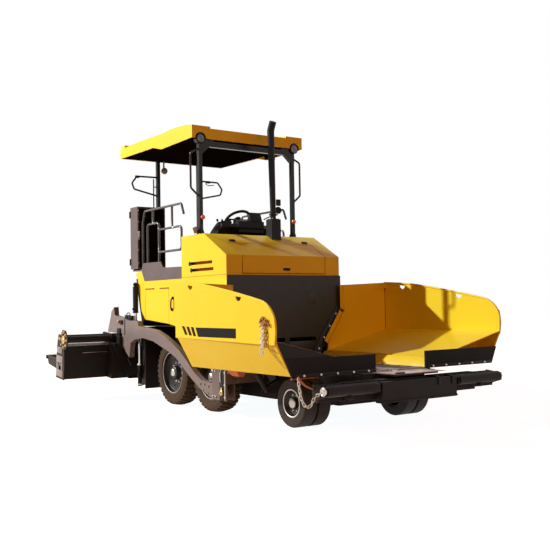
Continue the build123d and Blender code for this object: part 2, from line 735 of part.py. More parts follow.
# Hinge barrels along the door's top edge: rear x, front x
DOOR_HINGES = ((DOOR_REAR_X + 10, DOOR_REAR_X + 290), (DOOR_FRONT_X - 270, DOOR_FRONT_X - 10))
for x0, x1 in DOOR_HINGES:
    body_side = body_side - rod_x(-BODY_HALF, DOOR_TOP_Z, DOOR_HINGE_R + 2, x0 - 3, x1 + 3)
front_return = block(HOOD_NOSE_X - SHEET, HOOD_NOSE_X, -BODY_IN, -BODY_IN + 60, BODY_BOTTOM_Z, DECK_Z)
keep("rear_body_shell", body_side + front_return, other_side(body_side + front_return))
door = side_plate(door_outline, -BODY_HALF, -BODY_IN)
for x0, x1 in DOOR_HINGES:
    door = door + rod_x(-BODY_HALF, DOOR_TOP_Z, DOOR_HINGE_R, x0, x1)
keep("side_door_right", door)
keep("side_door_left", other_side(door))

# Platform deck with grey toe plates, and a rear outrigger that carries the rear posts

toe_outline = [
    (-942, 2035),
    (-382, 2032),
    (-307, 1943),
    (HOOD_REAR_X - 4, 1932),
    (HOOD_REAR_X - 4, DECK_Z + 1),
    (-902, DECK_Z + 1),
    (-1005, 1927),
]
TOE = 26.0
DECK_HALF = BODY_HALF - 22.0
DECK_REAR_X = -1116.0
STEP_Z = 1945.0
toe = side_plate(toe_outline, -BODY_HALF, -BODY_HALF + TOE)
toe_foot = block(-890, HOOD_REAR_X - 4, -BODY_IN + 1, -DECK_HALF + 2, DECK_Z - 25, DECK_Z + 10)
deck = block(DECK_REAR_X, HOOD_REAR_X + 40, -DECK_HALF, DECK_HALF, DECK_Z - 25, DECK_Z - 5)
OUTRIGGER_HALF = REAR_POST_Y + 130.0
outrigger = block(
    REAR_POST_X - 60, DECK_REAR_X + 16, -OUTRIGGER_HALF, OUTRIGGER_HALF, DECK_Z - 5, DECK_Z + 20
)
CAB_X0 = -1350.0
CAB_X1 = -1100.0
CAB_Y0 = -BODY_HALF - 10.0
CAB_Y1 = CAB_Y0 + 470.0
CAB_Z0 = STEP_Z + 15.0
CAB_Z1 = CAB_Z0 + 950.0
STEP_FRONT_X = -1010.0
STEP_HALF = DECK_HALF + 2.0
rear_step = block(CAB_X0, STEP_FRONT_X, -STEP_HALF, STEP_HALF, STEP_Z - 16, STEP_Z)
rear_riser = block(STEP_FRONT_X - 30, STEP_FRONT_X - 10, -STEP_HALF, STEP_HALF, DECK_Z - 25, STEP_Z - 15)
keep("platform_deck", deck, outrigger, rear_step, rear_riser, toe + toe_foot, other_side(toe + toe_foot))

# Handrails on both sides

RAIL_Y = BODY_HALF - 44.0
RAIL_R = 17.0
RAIL_FOOT_Z = DECK_Z - 5 + FIT
RAIL_REAR_X = -1030.0
RAIL_FRONT_X = 188.0
RAIL_TOP_Z = 2820.0
GATE_X = (-870.0, -500.0)
GATE_TOP_Z = RAIL_TOP_Z - 210.0
KNEE_Z = (2175.0, 2505.0)
rail = pipe(
    [
        (RAIL_REAR_X, -RAIL_Y, STEP_Z + FIT),
        (RAIL_REAR_X, -RAIL_Y, RAIL_TOP_Z - 180),
        (RAIL_REAR_X + 73, -RAIL_Y, RAIL_TOP_Z),
        (RAIL_FRONT_X, -RAIL_Y, RAIL_TOP_Z),
        (RAIL_FRONT_X + 67, -RAIL_Y, RAIL_TOP_Z - 151),
    ],
    45,
    RAIL_R,
)
rail = rail + rod_z(-90, -RAIL_Y, RAIL_R, KNEE_Z[1], RAIL_TOP_Z)
rail = rail + rod_z(sum(GATE_X) / 2 - 5, -RAIL_Y, RAIL_R, GATE_TOP_Z, RAIL_TOP_Z)
rail = rail + pipe(
    [
        (GATE_X[0], -RAIL_Y, RAIL_FOOT_Z),
        (GATE_X[0], -RAIL_Y, GATE_TOP_Z),
        (GATE_X[1], -RAIL_Y, GATE_TOP_Z),
        (GATE_X[1], -RAIL_Y, RAIL_FOOT_Z),
    ],
    60,
    RAIL_R,
)
rail = rail + pipe(
    [
        (GATE_X[1], -RAIL_Y, KNEE_Z[1]),
        (RAIL_FRONT_X - 2, -RAIL_Y, KNEE_Z[1]),
        (RAIL_FRONT_X - 2, -RAIL_Y, KNEE_Z[0]),
        (GATE_X[1], -RAIL_Y, KNEE_Z[0]),
    ],
    60,
    RAIL_R,
)
keep("handrails", rail, other_side(rail))

# Console across the platform, with its steering wheel

CONSOLE_X = (60.0, HOOD_REAR_X - 8)
CONSOLE_Y = (-340.0, 560.0)
CONSOLE_TOP_Z = HOOD_TOP_Z + 97.0
STEER_Y = 100.0
STEER_X = CONSOLE_X[0] + 50.0
STEER_Z = CONSOLE_TOP_Z + 200.0
STEER_R = 190.0
STEER_TILT = -35.0
console = side_plate(
    [
        (CONSOLE_X[0], DECK_Z + FIT - 5),
        (CONSOLE_X[1], DECK_Z + FIT - 5),
        (CONSOLE_X[1], CONSOLE_TOP_Z - 40),
        (CONSOLE_X[1] + 84, CONSOLE_TOP_Z + 60),
        (CONSOLE_X[1] - 6, CONSOLE_TOP_Z + 120),
        (CONSOLE_X[0], CONSOLE_TOP_Z),
    ],
    *CONSOLE_Y,
)
steering = Pos(STEER_X, STEER_Y, STEER_Z) * Rot(0, STEER_TILT, 0)
column = Pos(STEER_X + 40, STEER_Y, STEER_Z - 65) * Rot(0, STEER_TILT, 0) * Cylinder(30, STEER_R)
POD_Y = (STEER_Y - 110.0, STEER_Y + 330.0)
pod = side_plate(
    [
        (CONSOLE_X[0] + 60, CONSOLE_TOP_Z),
        (CONSOLE_X[1] + 70, CONSOLE_TOP_Z),
        (CONSOLE_X[1] + 70, CONSOLE_TOP_Z + 160),
        (CONSOLE_X[0] + 110, CONSOLE_TOP_Z + 200),
    ],
    *POD_Y,
)
keep("console", console, pod, column, steering * Box(20, 2 * STEER_R, 14), steering * Torus(STEER_R, 16))

# Two seats facing forward on pedestals

SEAT_YS = (-60.0, 540.0)
SEAT_REAR_X = -860.0
SEAT_DEEP = 460.0
SEAT_HALF = 230.0
SEAT_Z = DECK_Z + 317.0
SEAT_PAN = 20.0
BACK_T = 25.0
BACK_H = 330.0
CUSHION_T = 100.0
BACK_CUSHION_T = 95.0
seat_frames = []
seat_cushions = []
for seat_y in SEAT_YS:
    pan_x1 = SEAT_REAR_X + SEAT_DEEP
    back_x1 = SEAT_REAR_X + BACK_T
    pan_z1 = SEAT_Z + SEAT_PAN
    foot = block(
        SEAT_REAR_X + 100, pan_x1 - 40, seat_y - SEAT_HALF + 70, seat_y + SEAT_HALF - 70, DECK_Z - 5, SEAT_Z
    )
    pan = block(SEAT_REAR_X, pan_x1, seat_y - SEAT_HALF, seat_y + SEAT_HALF, SEAT_Z, pan_z1)
    back = block(
        SEAT_REAR_X, back_x1, seat_y - SEAT_HALF + 10, seat_y + SEAT_HALF - 10, SEAT_Z, SEAT_Z + BACK_H
    )
    seat_frames += [foot, pan, back]
    seat_cushions.append(
        block(
            back_x1 + 15,
            pan_x1 + 10,
            seat_y - SEAT_HALF + 5,
            seat_y + SEAT_HALF - 5,
            pan_z1 + FIT,
            pan_z1 + CUSHION_T,
        )
    )
    seat_cushions.append(
        block(
            back_x1 + FIT,
            back_x1 + BACK_CUSHION_T,
            seat_y - SEAT_HALF + 15,
            seat_y + SEAT_HALF - 15,
            pan_z1 + CUSHION_T + 15,
            SEAT_Z + BACK_H + 40,
        )
    )
keep("seat_frames", *seat_frames)
keep("seat_cushions", *seat_cushions)

# Gas cabinet on the rear right corner, with a door on its outer side

cab = block(CAB_X0, CAB_X1, CAB_Y0 + SHEET, CAB_Y1, CAB_Z0, CAB_Z1)
cab = cab - block(
    CAB_X0 + SHEET, CAB_X1 - SHEET, CAB_Y0 - 5, CAB_Y1 - SHEET, CAB_Z0 + SHEET, CAB_Z1 - SHEET
)
cab_foot = block(CAB_X0 + 20, CAB_X1 - 20, CAB_Y0 + 50, CAB_Y1 - 20, STEP_Z, CAB_Z0)
keep("gas_cabinet", cab, cab_foot)
cab_door = block(CAB_X0, CAB_X1, CAB_Y0, CAB_Y0 + SHEET - FIT, CAB_Z0, CAB_Z1)
CAB_HINGE_R = 5.0
for hinge_z in (CAB_Z0 + 60, CAB_Z1 - 160):
    cab_door = cab_door + rod_z(CAB_X0, CAB_Y0, CAB_HINGE_R, hinge_z, hinge_z + 100)
keep("gas_cabinet_door", cab_door)

# Canopy roof: a yellow shell with a sloping front, open below

canopy_outline = [
    (CANOPY_FRONT_X, 3672),
    (-304, 3654),
    (-558, 3716),
    (CANOPY_REAR_X, 3727),
    (CANOPY_REAR_X, 3869),
    (-1000, 3887),
    (-10, 3870),
    (420, 3847),
    (CANOPY_FRONT_X, 3818),
]
canopy_inside = [
    (CANOPY_FRONT_X - CANOPY_WALL, 3600),
    (CANOPY_REAR_X + CANOPY_WALL, 3600),
    (CANOPY_REAR_X + CANOPY_WALL, 3855),
    (-1000, 3872),
    (-10, 3856),
    (420, 3833),
    (CANOPY_FRONT_X - CANOPY_WALL, 3804),
]
canopy = side_plate(canopy_outline, -CANOPY_HALF, CANOPY_HALF)
canopy = canopy - side_plate(canopy_inside, -CANOPY_HALF + CANOPY_WALL, CANOPY_HALF - CANOPY_WALL)
LAMP_Y = FRONT_POST_Y + 12.0
LAMP_Z = 3670.0
LAMP_R = 70.0
SHOULDER = 26.0
shoulder = side_plate(
    [
        (CANOPY_FRONT_X, 3790),
        (CANOPY_FRONT_X, 3818 + SHOULDER),
        (420, 3847 + SHOULDER),
        (-10, 3870 + SHOULDER - 6),
        (-300, 3870),
        (-300, 3865),
        (420, 3838),
    ],
    -CANOPY_HALF,
    -CANOPY_HALF + 290,
)
rear_bump = block(CANOPY_REAR_X + 50, CANOPY_REAR_X + 170, -CANOPY_HALF, -CANOPY_HALF + 150, 3862, 3915)
arch = rod_x(-LAMP_Y, LAMP_Z, LAMP_R + 16, CANOPY_FRONT_X - 160, CANOPY_FRONT_X + 5)
for piece in (shoulder, rear_bump):
    canopy = canopy + piece + other_side(piece)
keep("canopy_roof", canopy - arch - other_side(arch))

# Canopy frame: liner, posts, mirror loops and grab handles

LINER_Z = 3735.0
liner = block(
    CANOPY_REAR_X + CANOPY_WALL + FIT,
    CANOPY_FRONT_X - CANOPY_WALL - FIT,
    -CANOPY_HALF + CANOPY_WALL + FIT,
    CANOPY_HALF - CANOPY_WALL - FIT,
    LINER_Z,
    LINER_Z + 30,
)
half_post = POST_SIDE / 2
front_post = block(
    FRONT_POST_X - half_post,
    FRONT_POST_X + half_post,
    -FRONT_POST_Y - half_post,
    -FRONT_POST_Y + half_post,
    HOOD_TOP_Z,
    LINER_Z + 5,
)
FOOT_HALF = 70.0
post_foot = block(
    FRONT_POST_X - FOOT_HALF,
    FRONT_POST_X + FOOT_HALF,
    -FRONT_POST_Y - FOOT_HALF,
    -FRONT_POST_Y + FOOT_HALF,
    HOOD_TOP_Z,
    HOOD_TOP_Z + 14,
)
rear_post = block(
    REAR_POST_X - half_post,
    REAR_POST_X + half_post,
    -REAR_POST_Y - half_post,
    -REAR_POST_Y + half_post,
    DECK_Z + 20,
    LINER_Z + 5,
)
HANDLE_R = 14.0
mirror_loop = pipe(
    [
        (REAR_POST_X, -REAR_POST_Y, 3445),
        (REAR_POST_X, -REAR_POST_Y - 370, 3440),
        (REAR_POST_X, -REAR_POST_Y - 455, 3330),
        (REAR_POST_X, -REAR_POST_Y - 420, 3235),
        (REAR_POST_X, -REAR_POST_Y, 3145),
    ],
    36,
    HANDLE_R,
)
grab = pipe(
    [
        (FRONT_POST_X, -FRONT_POST_Y, 3545),
        (FRONT_POST_X, -FRONT_POST_Y - 145, 3480),
        (FRONT_POST_X, -FRONT_POST_Y - 145, 2990),
        (FRONT_POST_X, -FRONT_POST_Y, 2865),
    ],
    50,
    HANDLE_R,
)
# A thin upright tube beside the right mirror loop, tied to the rear post
tube_y = -REAR_POST_Y - 80
side_tube = rod_z(REAR_POST_X, tube_y, 10, DECK_Z + 20, 3415)
side_tube = side_tube + rod_y(REAR_POST_X, 3290, 9, tube_y, -REAR_POST_Y)
front_beam = block(FRONT_POST_X - 30, FRONT_POST_X + 30, -FRONT_POST_Y, FRONT_POST_Y, 3572, 3648)
shoulder_beam = cross_plate(
    [
        (-FRONT_POST_Y - 30, 3470),
        (-FRONT_POST_Y + 30, 3470),
        (-FRONT_POST_Y + 220, 3640),
        (-FRONT_POST_Y + 140, LINER_Z + 4),
        (-FRONT_POST_Y - 30, LINER_Z + 4),
    ],
    FRONT_POST_X - 30,
    FRONT_POST_X + 30,
)
lamp = rod_x(-LAMP_Y, LAMP_Z, LAMP_R, FRONT_POST_X - 20, CANOPY_FRONT_X - 10)
frame_side = front_post + post_foot + rear_post + mirror_loop + grab + shoulder_beam + lamp
keep("canopy_frame", liner, front_beam, frame_side, other_side(frame_side), side_tube)

# Exhaust standing on the hood
EXHAUST_X = HOOD_BREAK_X + 48.0
EXHAUST_Y = 190.0
STACK_R = 50.0
stack = pipe(
    [
        (EXHAUST_X, EXHAUST_Y - 15, 2500),
        (EXHAUST_X, EXHAUST_Y - 35, 3820),
        (EXHAUST_X + 60, EXHAUST_Y - 35, 3935),
    ],
    80,
    STACK_R,
)
muffler = block(EXHAUST_X - 95, EXHAUST_X + 85, EXHAUST_Y - 110, EXHAUST_Y + 90, 2280, 2570)
under_hood = side_plate(
    [
        (HOOD_REAR_X, HOOD_TOP_Z + FIT),
        (HOOD_BREAK_X, HOOD_TOP_Z + FIT),
        (HOOD_NOSE_X, HOOD_NOSE_Z + FIT),
        (HOOD_NOSE_X, DECK_Z),
        (HOOD_REAR_X, DECK_Z),
    ],
    -LID_HALF,
    LID_HALF,
)
muffler = muffler - under_hood
keep("exhaust", muffler, stack)

# Hopper rear wall, with two tunnel openings at its foot

wall_half = BODY_HALF + 5.0
wall_foot = HOPPER_FLOOR_HALF - 37.0
wall = cross_plate(
    [
        (-wall_half, 1770),
        (-wall_half, 1278),
        (-wall_foot, 680),
        (-wall_foot, CONVEYOR_Z + 30),
        (wall_foot, CONVEYOR_Z + 30),
        (wall_foot, 680),
        (wall_half, 1278),
        (wall_half, 1770),
    ],
    HOPPER_WALL_X,
    HOPPER_WALL_X + PLATE,
)
MOUTH_TOP_Z = 940.0
mouth = block(
    HOPPER_WALL_X - 5, HOPPER_WALL_X + PLATE + 8, CONVEYOR_IN, CONVEYOR_OUT, CONVEYOR_Z, MOUTH_TOP_Z
)
wall = wall - mouth - other_side(mouth)
keep("hopper_rear_wall", wall)

# Conveyor: slats on chains along the floor, one run each side of the middle

BAR_PITCH = 180.0
BAR_H = 24.0
conveyor = []
for y0, y1 in ((-CONVEYOR_OUT, -CONVEYOR_IN), (CONVEYOR_IN, CONVEYOR_OUT)):
    for chain_y0 in (y0 + 2, y1 - 38):
        conveyor.append(
            block(
                FRAME_REAR_X + 10,
                DECK_FRONT_X - 60,
                chain_y0,
                chain_y0 + 36,
                CONVEYOR_Z - 8,
                CONVEYOR_Z + 18,
            )
        )
    bar_x = FRAME_REAR_X + 60
    while bar_x < DECK_FRONT_X - 80:
        conveyor.append(block(bar_x, bar_x + 34, y0, y1, CONVEYOR_Z - 6, CONVEYOR_Z - 6 + BAR_H))
        bar_x += BAR_PITCH
keep("conveyor", *conveyor)

# Hopper wings: floor, outer side, skirt and rear wall, hinged along the hopper floor

wing_top = [
    (WING_REAR_X, 1672),
    (WING_REAR_X + 374, 1655),
    (WING_REAR_X + 727, 1618),
    (WING_FRONT_X - 738, 1520),
    (WING_FRONT_X - 214, 1423),
    (WING_FRONT_X - 87, 1360),
    (WING_FRONT_X, 1258),
    (WING_FRONT_X + 20, 1116),
    (WING_FRONT_X, 975),
    (WING_REAR_X, 1010),
]
wing_side = side_plate(wing_top, -WING_OUT, -WING_OUT + PLATE)
# Lifting notches under the top edge: middle x, top z
NOTCHES = ((WING_REAR_X + 368, 1620.0), (WING_FRONT_X - 660, 1474.0))
for notch_x, notch_z in NOTCHES:
    notch = [
        (notch_x - 58, notch_z + 6),
        (notch_x + 58, notch_z - 6),
        (notch_x + 44, notch_z - 34),
        (notch_x, notch_z - 54),
        (notch_x - 44, notch_z - 26),
    ]
    wing_side = wing_side - side_plate(notch, -WING_OUT - 5, -WING_OUT + PLATE + 5)
hinge_edge_y = -WING_HINGE_Y - 4
floor_rise = (WING_CREASE_REAR_Z - WING_INNER_Z) / (WING_OUT - 4 + hinge_edge_y)


def wing_under_z(y):
    """Height of the underside of the wing's floor, y to the side of the middle."""
    return WING_INNER_Z + floor_rise * (y + hinge_edge_y)


wing_floor = cross_plate(
    [
        (hinge_edge_y, WING_INNER_Z),
        (-WING_OUT + 4, WING_CREASE_REAR_Z),
        (-WING_OUT + 4, WING_CREASE_REAR_Z + PLATE),
        (hinge_edge_y, WING_INNER_Z + PLATE),
    ],
    WING_REAR_X,
    WING_FRONT_X,
)
wing_rear = cross_plate(
    [
        (hinge_edge_y - 20, WING_INNER_Z + 8),
        (-WING_OUT + 4, WING_CREASE_REAR_Z + 4),
        (-WING_OUT + 4, 1672),
        (-wall_half, 1640),
        (-wall_half, 1278),
        (hinge_edge_y - 36, 860),
    ],
    WING_REAR_X,
    WING_REAR_X + PLATE,
)
wing_skirt = cross_plate(
    [
        (-WING_OUT, WING_CREASE_REAR_Z + 8),
        (-WING_OUT + 12, WING_CREASE_REAR_Z + 8),
        (-WING_SKIRT_Y + 10, 655),
        (-WING_SKIRT_Y, 650),
    ],
    WING_REAR_X + 40,
    WING_FRONT_X,
)
gusset = flat_plate(
    [
        (WING_REAR_X + PLATE - 2, -WING_OUT + PLATE - 2),
        (WING_REAR_X + 190, -WING_OUT + PLATE - 2),
        (WING_REAR_X + PLATE - 2, -WING_OUT + 290),
    ],
    1600,
    1610,
)
wing_parts = [wing_side, wing_floor, wing_rear, wing_skirt, gusset]
for x0 in HINGE_XS:
    x1 = x0 + HINGE_LENGTH
    tube = rod_x(-WING_HINGE_Y, WING_HINGE_Z, WING_HINGE_R, x0 + HINGE_LUG + 2, x1 - 2)
    pin_hole = rod_x(-WING_HINGE_Y, WING_HINGE_Z, HINGE_PIN_R + PIN_FIT, x0, x1 + 2)
    web = block(
        x0 + HINGE_LUG + 2,
        x1 - 2,
        -WING_HINGE_Y - 40,
        -WING_HINGE_Y - 18,
        WING_HINGE_Z - 8,
        WING_INNER_Z + 12,
    )
    wing_parts.append(tube - pin_hole + web)
for rib_x in (WING_REAR_X + 188, WING_CYL_X + 200, WING_FRONT_X - 280):
    rib = cross_plate(
        [
            (-WING_HINGE_Y - 100, wing_under_z(WING_HINGE_Y + 100) + 5),
            (-WING_OUT + 30, wing_under_z(WING_OUT - 30) + 5),
            (-WING_SKIRT_Y, 690),
            (-WING_SKIRT_Y + 250, 800),
        ],
        rib_x,
        rib_x + PLATE,
    )
    wing_parts.append(rib)
top_y = WING_CYL_TOP_Y
top_z = WING_CYL_TOP_Z
for lug_x in ear_xs:
    lug = cross_plate(
        [
            (-top_y - 60, wing_under_z(top_y + 60) + 4),
            (-top_y + 60, wing_under_z(top_y - 60) + 4),
            (-top_y + 34, top_z - 34),
            (-top_y - 34, top_z - 34),
        ],
        lug_x,
        lug_x + PLATE,
    )
    wing_parts.append(lug)
# The lug's pin ends show outside the lugs only, because the rod's eye drifts as the wing folds
wing_parts.append(rod_x(-top_y, top_z, PIN_R, ear_xs[0] - 10, ear_xs[0] + PLATE))
wing_parts.append(rod_x(-top_y, top_z, PIN_R, ear_xs[1], ear_xs[1] + PLATE + 10))
keep("hopper_wing_right", *wing_parts)
keep("hopper_wing_left", other_side(nodes["hopper_wing_right"]))

# Rubber flaps across the front of the hopper, bolted to the wings
flap = cross_plate(
    [(-FLAP_IN, 632), (-FLAP_OUT, 632), (-FLAP_OUT - 90, 830), (-FLAP_IN, 830)],
    WING_FRONT_X + FIT,
    WING_FRONT_X + FIT + FLAP_T,
)
keep("flap_right", flap)
keep("flap_left", other_side(flap))

# Push beam on a centre pivot, with two push rollers

NOSE_HALF = ROLLER_IN - 50.0
beam = block(BEAM_X, BEAM_X + BEAM_DEPTH, -BEAM_HALF, BEAM_HALF, BEAM_LOW_Z + 40, BEAM_TOP_Z)
beam = beam + block(BEAM_X + BEAM_DEPTH, FRONT_X - 25, -NOSE_HALF, NOSE_HALF, BEAM_LOW_Z, BEAM_TOP_Z - 20)
beam_arm = block(BEAM_PIVOT_X - 60, BEAM_X + 20, -150, 150, BEAM_LOW_Z + 10, BEAM_LOW_Z + 90)
beam_arm = beam_arm - rod_z(BEAM_PIVOT_X, 0, PIVOT_R + FIT, 200, 700)
beam = beam + beam_arm
for bracket_y in (ROLLER_IN - 24, ROLLER_OUT + 4):
    bracket = side_plate(
        [
            (BEAM_X, BEAM_LOW_Z + 60),
            (ROLLER_X + 40, ROLLER_Z - 45),
            (ROLLER_X + 40, ROLLER_Z + 40),
            (BEAM_X, BEAM_TOP_Z),
        ],
        bracket_y,
        bracket_y + 20,
    )
    beam = beam + bracket + other_side(bracket)
roller_arm = block(BEAM_X, BEAM_X + 90, -ROLLER_OUT - 20, -BEAM_HALF + 10, BEAM_LOW_Z + 60, BEAM_TOP_Z - 10)
beam = beam + roller_arm + other_side(roller_arm)
ROLLER_PIN_R = 20.0
roller_pin = rod_y(ROLLER_X, ROLLER_Z, ROLLER_PIN_R, -ROLLER_OUT - 24, -ROLLER_IN + 24)
beam = beam + roller_pin + other_side(roller_pin)
keep("push_beam", beam)
roller = rod_y(ROLLER_X, ROLLER_Z, ROLLER_R, -ROLLER_OUT, -ROLLER_IN)
roller = roller - rod_y(ROLLER_X, ROLLER_Z, ROLLER_PIN_R + PIN_FIT, -ROLLER_OUT - 1, -ROLLER_IN + 1)
keep("push_roller_right", roller)
keep("push_roller_left", other_side(roller))

# Tow arms, one on each side of the rear wheels

arm_outline = [
    (-1873, 1021),
    (-1764, 1243),
    (-1741, 1311),
    (-1637, 1386),
    (-1620, 1260),
    (-1074, 1179),
    (-813, 1175),
    (-779, 1101),
    (-246, 1047),
    (15, 972),
    (239, 885),
    (455, 788),
    (663, 656),
    (840, 527),
    (1037, 428),
    (1349, 400),
    (1437, 400),
    (1600, 345),
    (1600, 262),
    (1437, 216),
    (1297, 216),
    (985, 326),
    (736, 459),
    (530, 586),
    (371, 682),
    (152, 764),
    (-104, 835),
    (-310, 890),
    (-647, 930),
    (-904, 903),
    (-1054, 850),
    (-1106, 627),
    (-1345, 790),
    (-1345, 985),
    (-1874, 995),
]
arm = side_plate(arm_outline, -ARM_OUT, -ARM_IN)
arm = arm - rod_y(TOW_X, TOW_Z, TOW_PIN_R + PIN_FIT, -ARM_OUT - 5, -ARM_IN + 5)
lift_pin = rod_y(LIFT_X, LIFT_LOW_Z, PIN_R, -ARM_IN - 10, -LIFT_Y + 34)
arm = arm + lift_pin
keep("tow_arms", arm, other_side(arm))

# Screed, drawn as it lies when it paves and then raised about the tow points

raised = Pos(TOW_X, 0, TOW_Z) * Rot(0, RAISE_DEG, 0) * Pos(-TOW_X, 0, -TOW_Z)

main = side_plate(
    [
        (SCREED_FRONT_X, SCREED_Z + 40),
        (SCREED_FRONT_X + 30, SCREED_Z),
        (SCREED_REAR_X, SCREED_Z),
        (SCREED_REAR_X, SCREED_TOP_Z),
        (SCREED_FRONT_X, SCREED_TOP_Z),
    ],
    -SCREED_HALF,
    SCREED_HALF,
)
taper = cross_plate(
    [(-SCREED_HALF - 1, SCREED_TOP_Z - 60), (-SCREED_HALF - 1, -5), (-960, -5)],
    SCREED_FRONT_X - 60,
    SCREED_FRONT_X + 60,
)
main = main - taper - other_side(taper)
SCREED_BOX_HALF = SCREED_HALF - 80.0
box_rear_x = TUBE_XS[0] + TUBE_R + SCREED_GAP
main = main + block(
    box_rear_x, SCREED_FRONT_X, -SCREED_BOX_HALF, SCREED_BOX_HALF, SCREED_TOP_Z, SCREED_TOP_Z + 100
)
bushing_x0 = TUBE_XS[1] - TUBE_R - 30
for y0 in (SCREED_HALF - 320, SCREED_HALF - 60):
    bushing = block(bushing_x0, box_rear_x + 10, -y0 - 40, -y0, EXT_TOP_Z + 12, TUBE_Z + TUBE_R + 20)
    for tube_x in TUBE_XS:
        bushing = bushing - rod_y(tube_x, TUBE_Z, TUBE_R + FIT, -y0 - 50, -y0 + 10)
    main = main + bushing + other_side(bushing)
# Cross beam on top of the screed, between the arms and bolted to them
PULL_BEAM_X = (SCREED_REAR_X + 125, SCREED_FRONT_X - 15)
PULL_BEAM_Z = (925.0, 1060.0)
pull_beam = block(*PULL_BEAM_X, -ARM_OUT - 20, ARM_OUT + 20, *PULL_BEAM_Z)
screed_main = raised * main + pull_beam - nodes["tow_arms"]
keep("screed_main", screed_main)

extension = block(EXT_REAR_X, SCREED_REAR_X - SCREED_GAP, -EXT_OUT, -EXT_IN, SCREED_Z, EXT_TOP_Z)
END_T = 30.0
flange_x = TUBE_XS[0]
flange_z = TUBE_Z
end_plate = side_plate(
    [
        (SCREED_REAR_X + 60, SCREED_Z),
        (EXT_REAR_X, SCREED_Z),
        (EXT_REAR_X, 400),
        (TUBE_XS[1] - TUBE_R - 10, TUBE_Z - 20),
        (TUBE_XS[1] - TUBE_R + 20, TUBE_Z + TUBE_R + 10),
        (flange_x, TUBE_Z + TUBE_R + 10),
        (SCREED_REAR_X + 60, 300),
    ],
    -EXT_OUT - END_T,
    -EXT_OUT,
)
end_plate = end_plate + side_plate(octagon(flange_x, flange_z, FLANGE_R), -EXT_OUT - END_T, -EXT_OUT)
for step in range(FLANGE_BOLTS):
    angle = 2 * math.pi * step / FLANGE_BOLTS
    end_plate = end_plate - rod_y(
        flange_x + FLANGE_PCD / 2 * math.cos(angle),
        flange_z + FLANGE_PCD / 2 * math.sin(angle),
        FLANGE_HOLE_R,
        -EXT_OUT - END_T - 5,
        -EXT_OUT,
    )
WALK_Z = (236.0, 296.0)
walkway = block(WALK_REAR_X, EXT_REAR_X + 2, -EXT_OUT - END_T, -EXT_IN, WALK_Z[1] - PLATE, WALK_Z[1])
walk_lip = block(WALK_REAR_X, WALK_REAR_X + PLATE, -EXT_OUT - END_T, -EXT_IN, *WALK_Z)
walk_bracket = side_plate(
    [
        (WALK_REAR_X + 50, WALK_Z[0] - 4),
        (WALK_REAR_X + 90, WALK_Z[0] - 68),
        (EXT_REAR_X + 2, WALK_Z[0] - 96),
        (EXT_REAR_X + 2, WALK_Z[1] - 4),
        (WALK_REAR_X + 50, WALK_Z[1] - 4),
    ],
    -EXT_OUT - PLATE,
    -EXT_OUT,
)
inner_bracket = Pos(0, EXT_OUT - EXT_IN - PLATE, 0) * walk_bracket
extension = extension + end_plate + walkway + walk_lip + walk_bracket + inner_bracket
for tube_x in TUBE_XS:
    extension = extension + rod_y(tube_x, TUBE_Z, TUBE_R, -EXT_OUT - 5, -EXT_IN - 40)
# Dark pocket in the end plate, where the side heating is reached
POCKET_R = 45.0
extension = extension - rod_y(EXT_REAR_X + 158, 178, POCKET_R, -EXT_OUT - END_T - 5, -EXT_OUT + 50)
extension = raised * extension
keep("screed_extension_right", extension)
keep("screed_extension_left", other_side(extension))

# Augers, one each side of the middle hanger

def auger():
    inner, outer = 10.0 + FIT, AUGER_OUT - FIT
    shape = rod_y(AUGER_X, AUGER_Z, AUGER_SHAFT_R, -outer, -inner)
    flights = 6
    margin = 55.0
    pitch = (outer - inner - 2 * margin) / (flights - 1)
    for turn in range(flights):
        y = -inner - margin - pitch * turn
        disc = Pos(AUGER_X, y, AUGER_Z) * Rot(90 - 16, 0, 0) * Cylinder(AUGER_R, 14)
        shape = shape + disc
    return shape


keep("auger_right", auger())
keep("auger_left", other_side(auger()))

# Lift cylinders between the rear pillars and the tow arms

LIFT_BARREL_R = 40.0
LIFT_ROD_R = 22.0
LIFT_BARREL_END = 1290.0
EYE_W = 40.0
EYE_WALL = 16.0
LIFT_EYE_R = PIN_R + EYE_DRIFT


def eye_y(x, z, y, hole_r):
    ring = rod_y(x, z, hole_r + EYE_WALL, y - EYE_W / 2, y + EYE_W / 2)
    return ring - rod_y(x, z, hole_r, y - EYE_W, y + EYE_W)


lift_barrel = rod_z(LIFT_X, -LIFT_Y, LIFT_BARREL_R, LIFT_BARREL_END, LIFT_TOP_Z - 28)
lift_barrel = lift_barrel - rod_z(LIFT_X, -LIFT_Y, LIFT_ROD_R + FIT, LIFT_BARREL_END - 5, LIFT_TOP_Z - 60)
lift_barrel = lift_barrel + eye_y(LIFT_X, LIFT_TOP_Z, -LIFT_Y, PIN_R + PIN_FIT)
# The rod's eye is wide, because the eye drifts from the arm's pin as the screed goes down
lift_rod = rod_z(LIFT_X, -LIFT_Y, LIFT_ROD_R, LIFT_LOW_Z + LIFT_EYE_R + 10, LIFT_TOP_Z - 70)
lift_rod = lift_rod + eye_y(LIFT_X, LIFT_LOW_Z, -LIFT_Y, LIFT_EYE_R)
keep("lift_barrel_right", lift_barrel)
keep("lift_barrel_left", other_side(lift_barrel))
keep("lift_rod_right", lift_rod)
keep("lift_rod_left", other_side(lift_rod))

# Wing cylinders between the chassis outriggers and the wing lugs

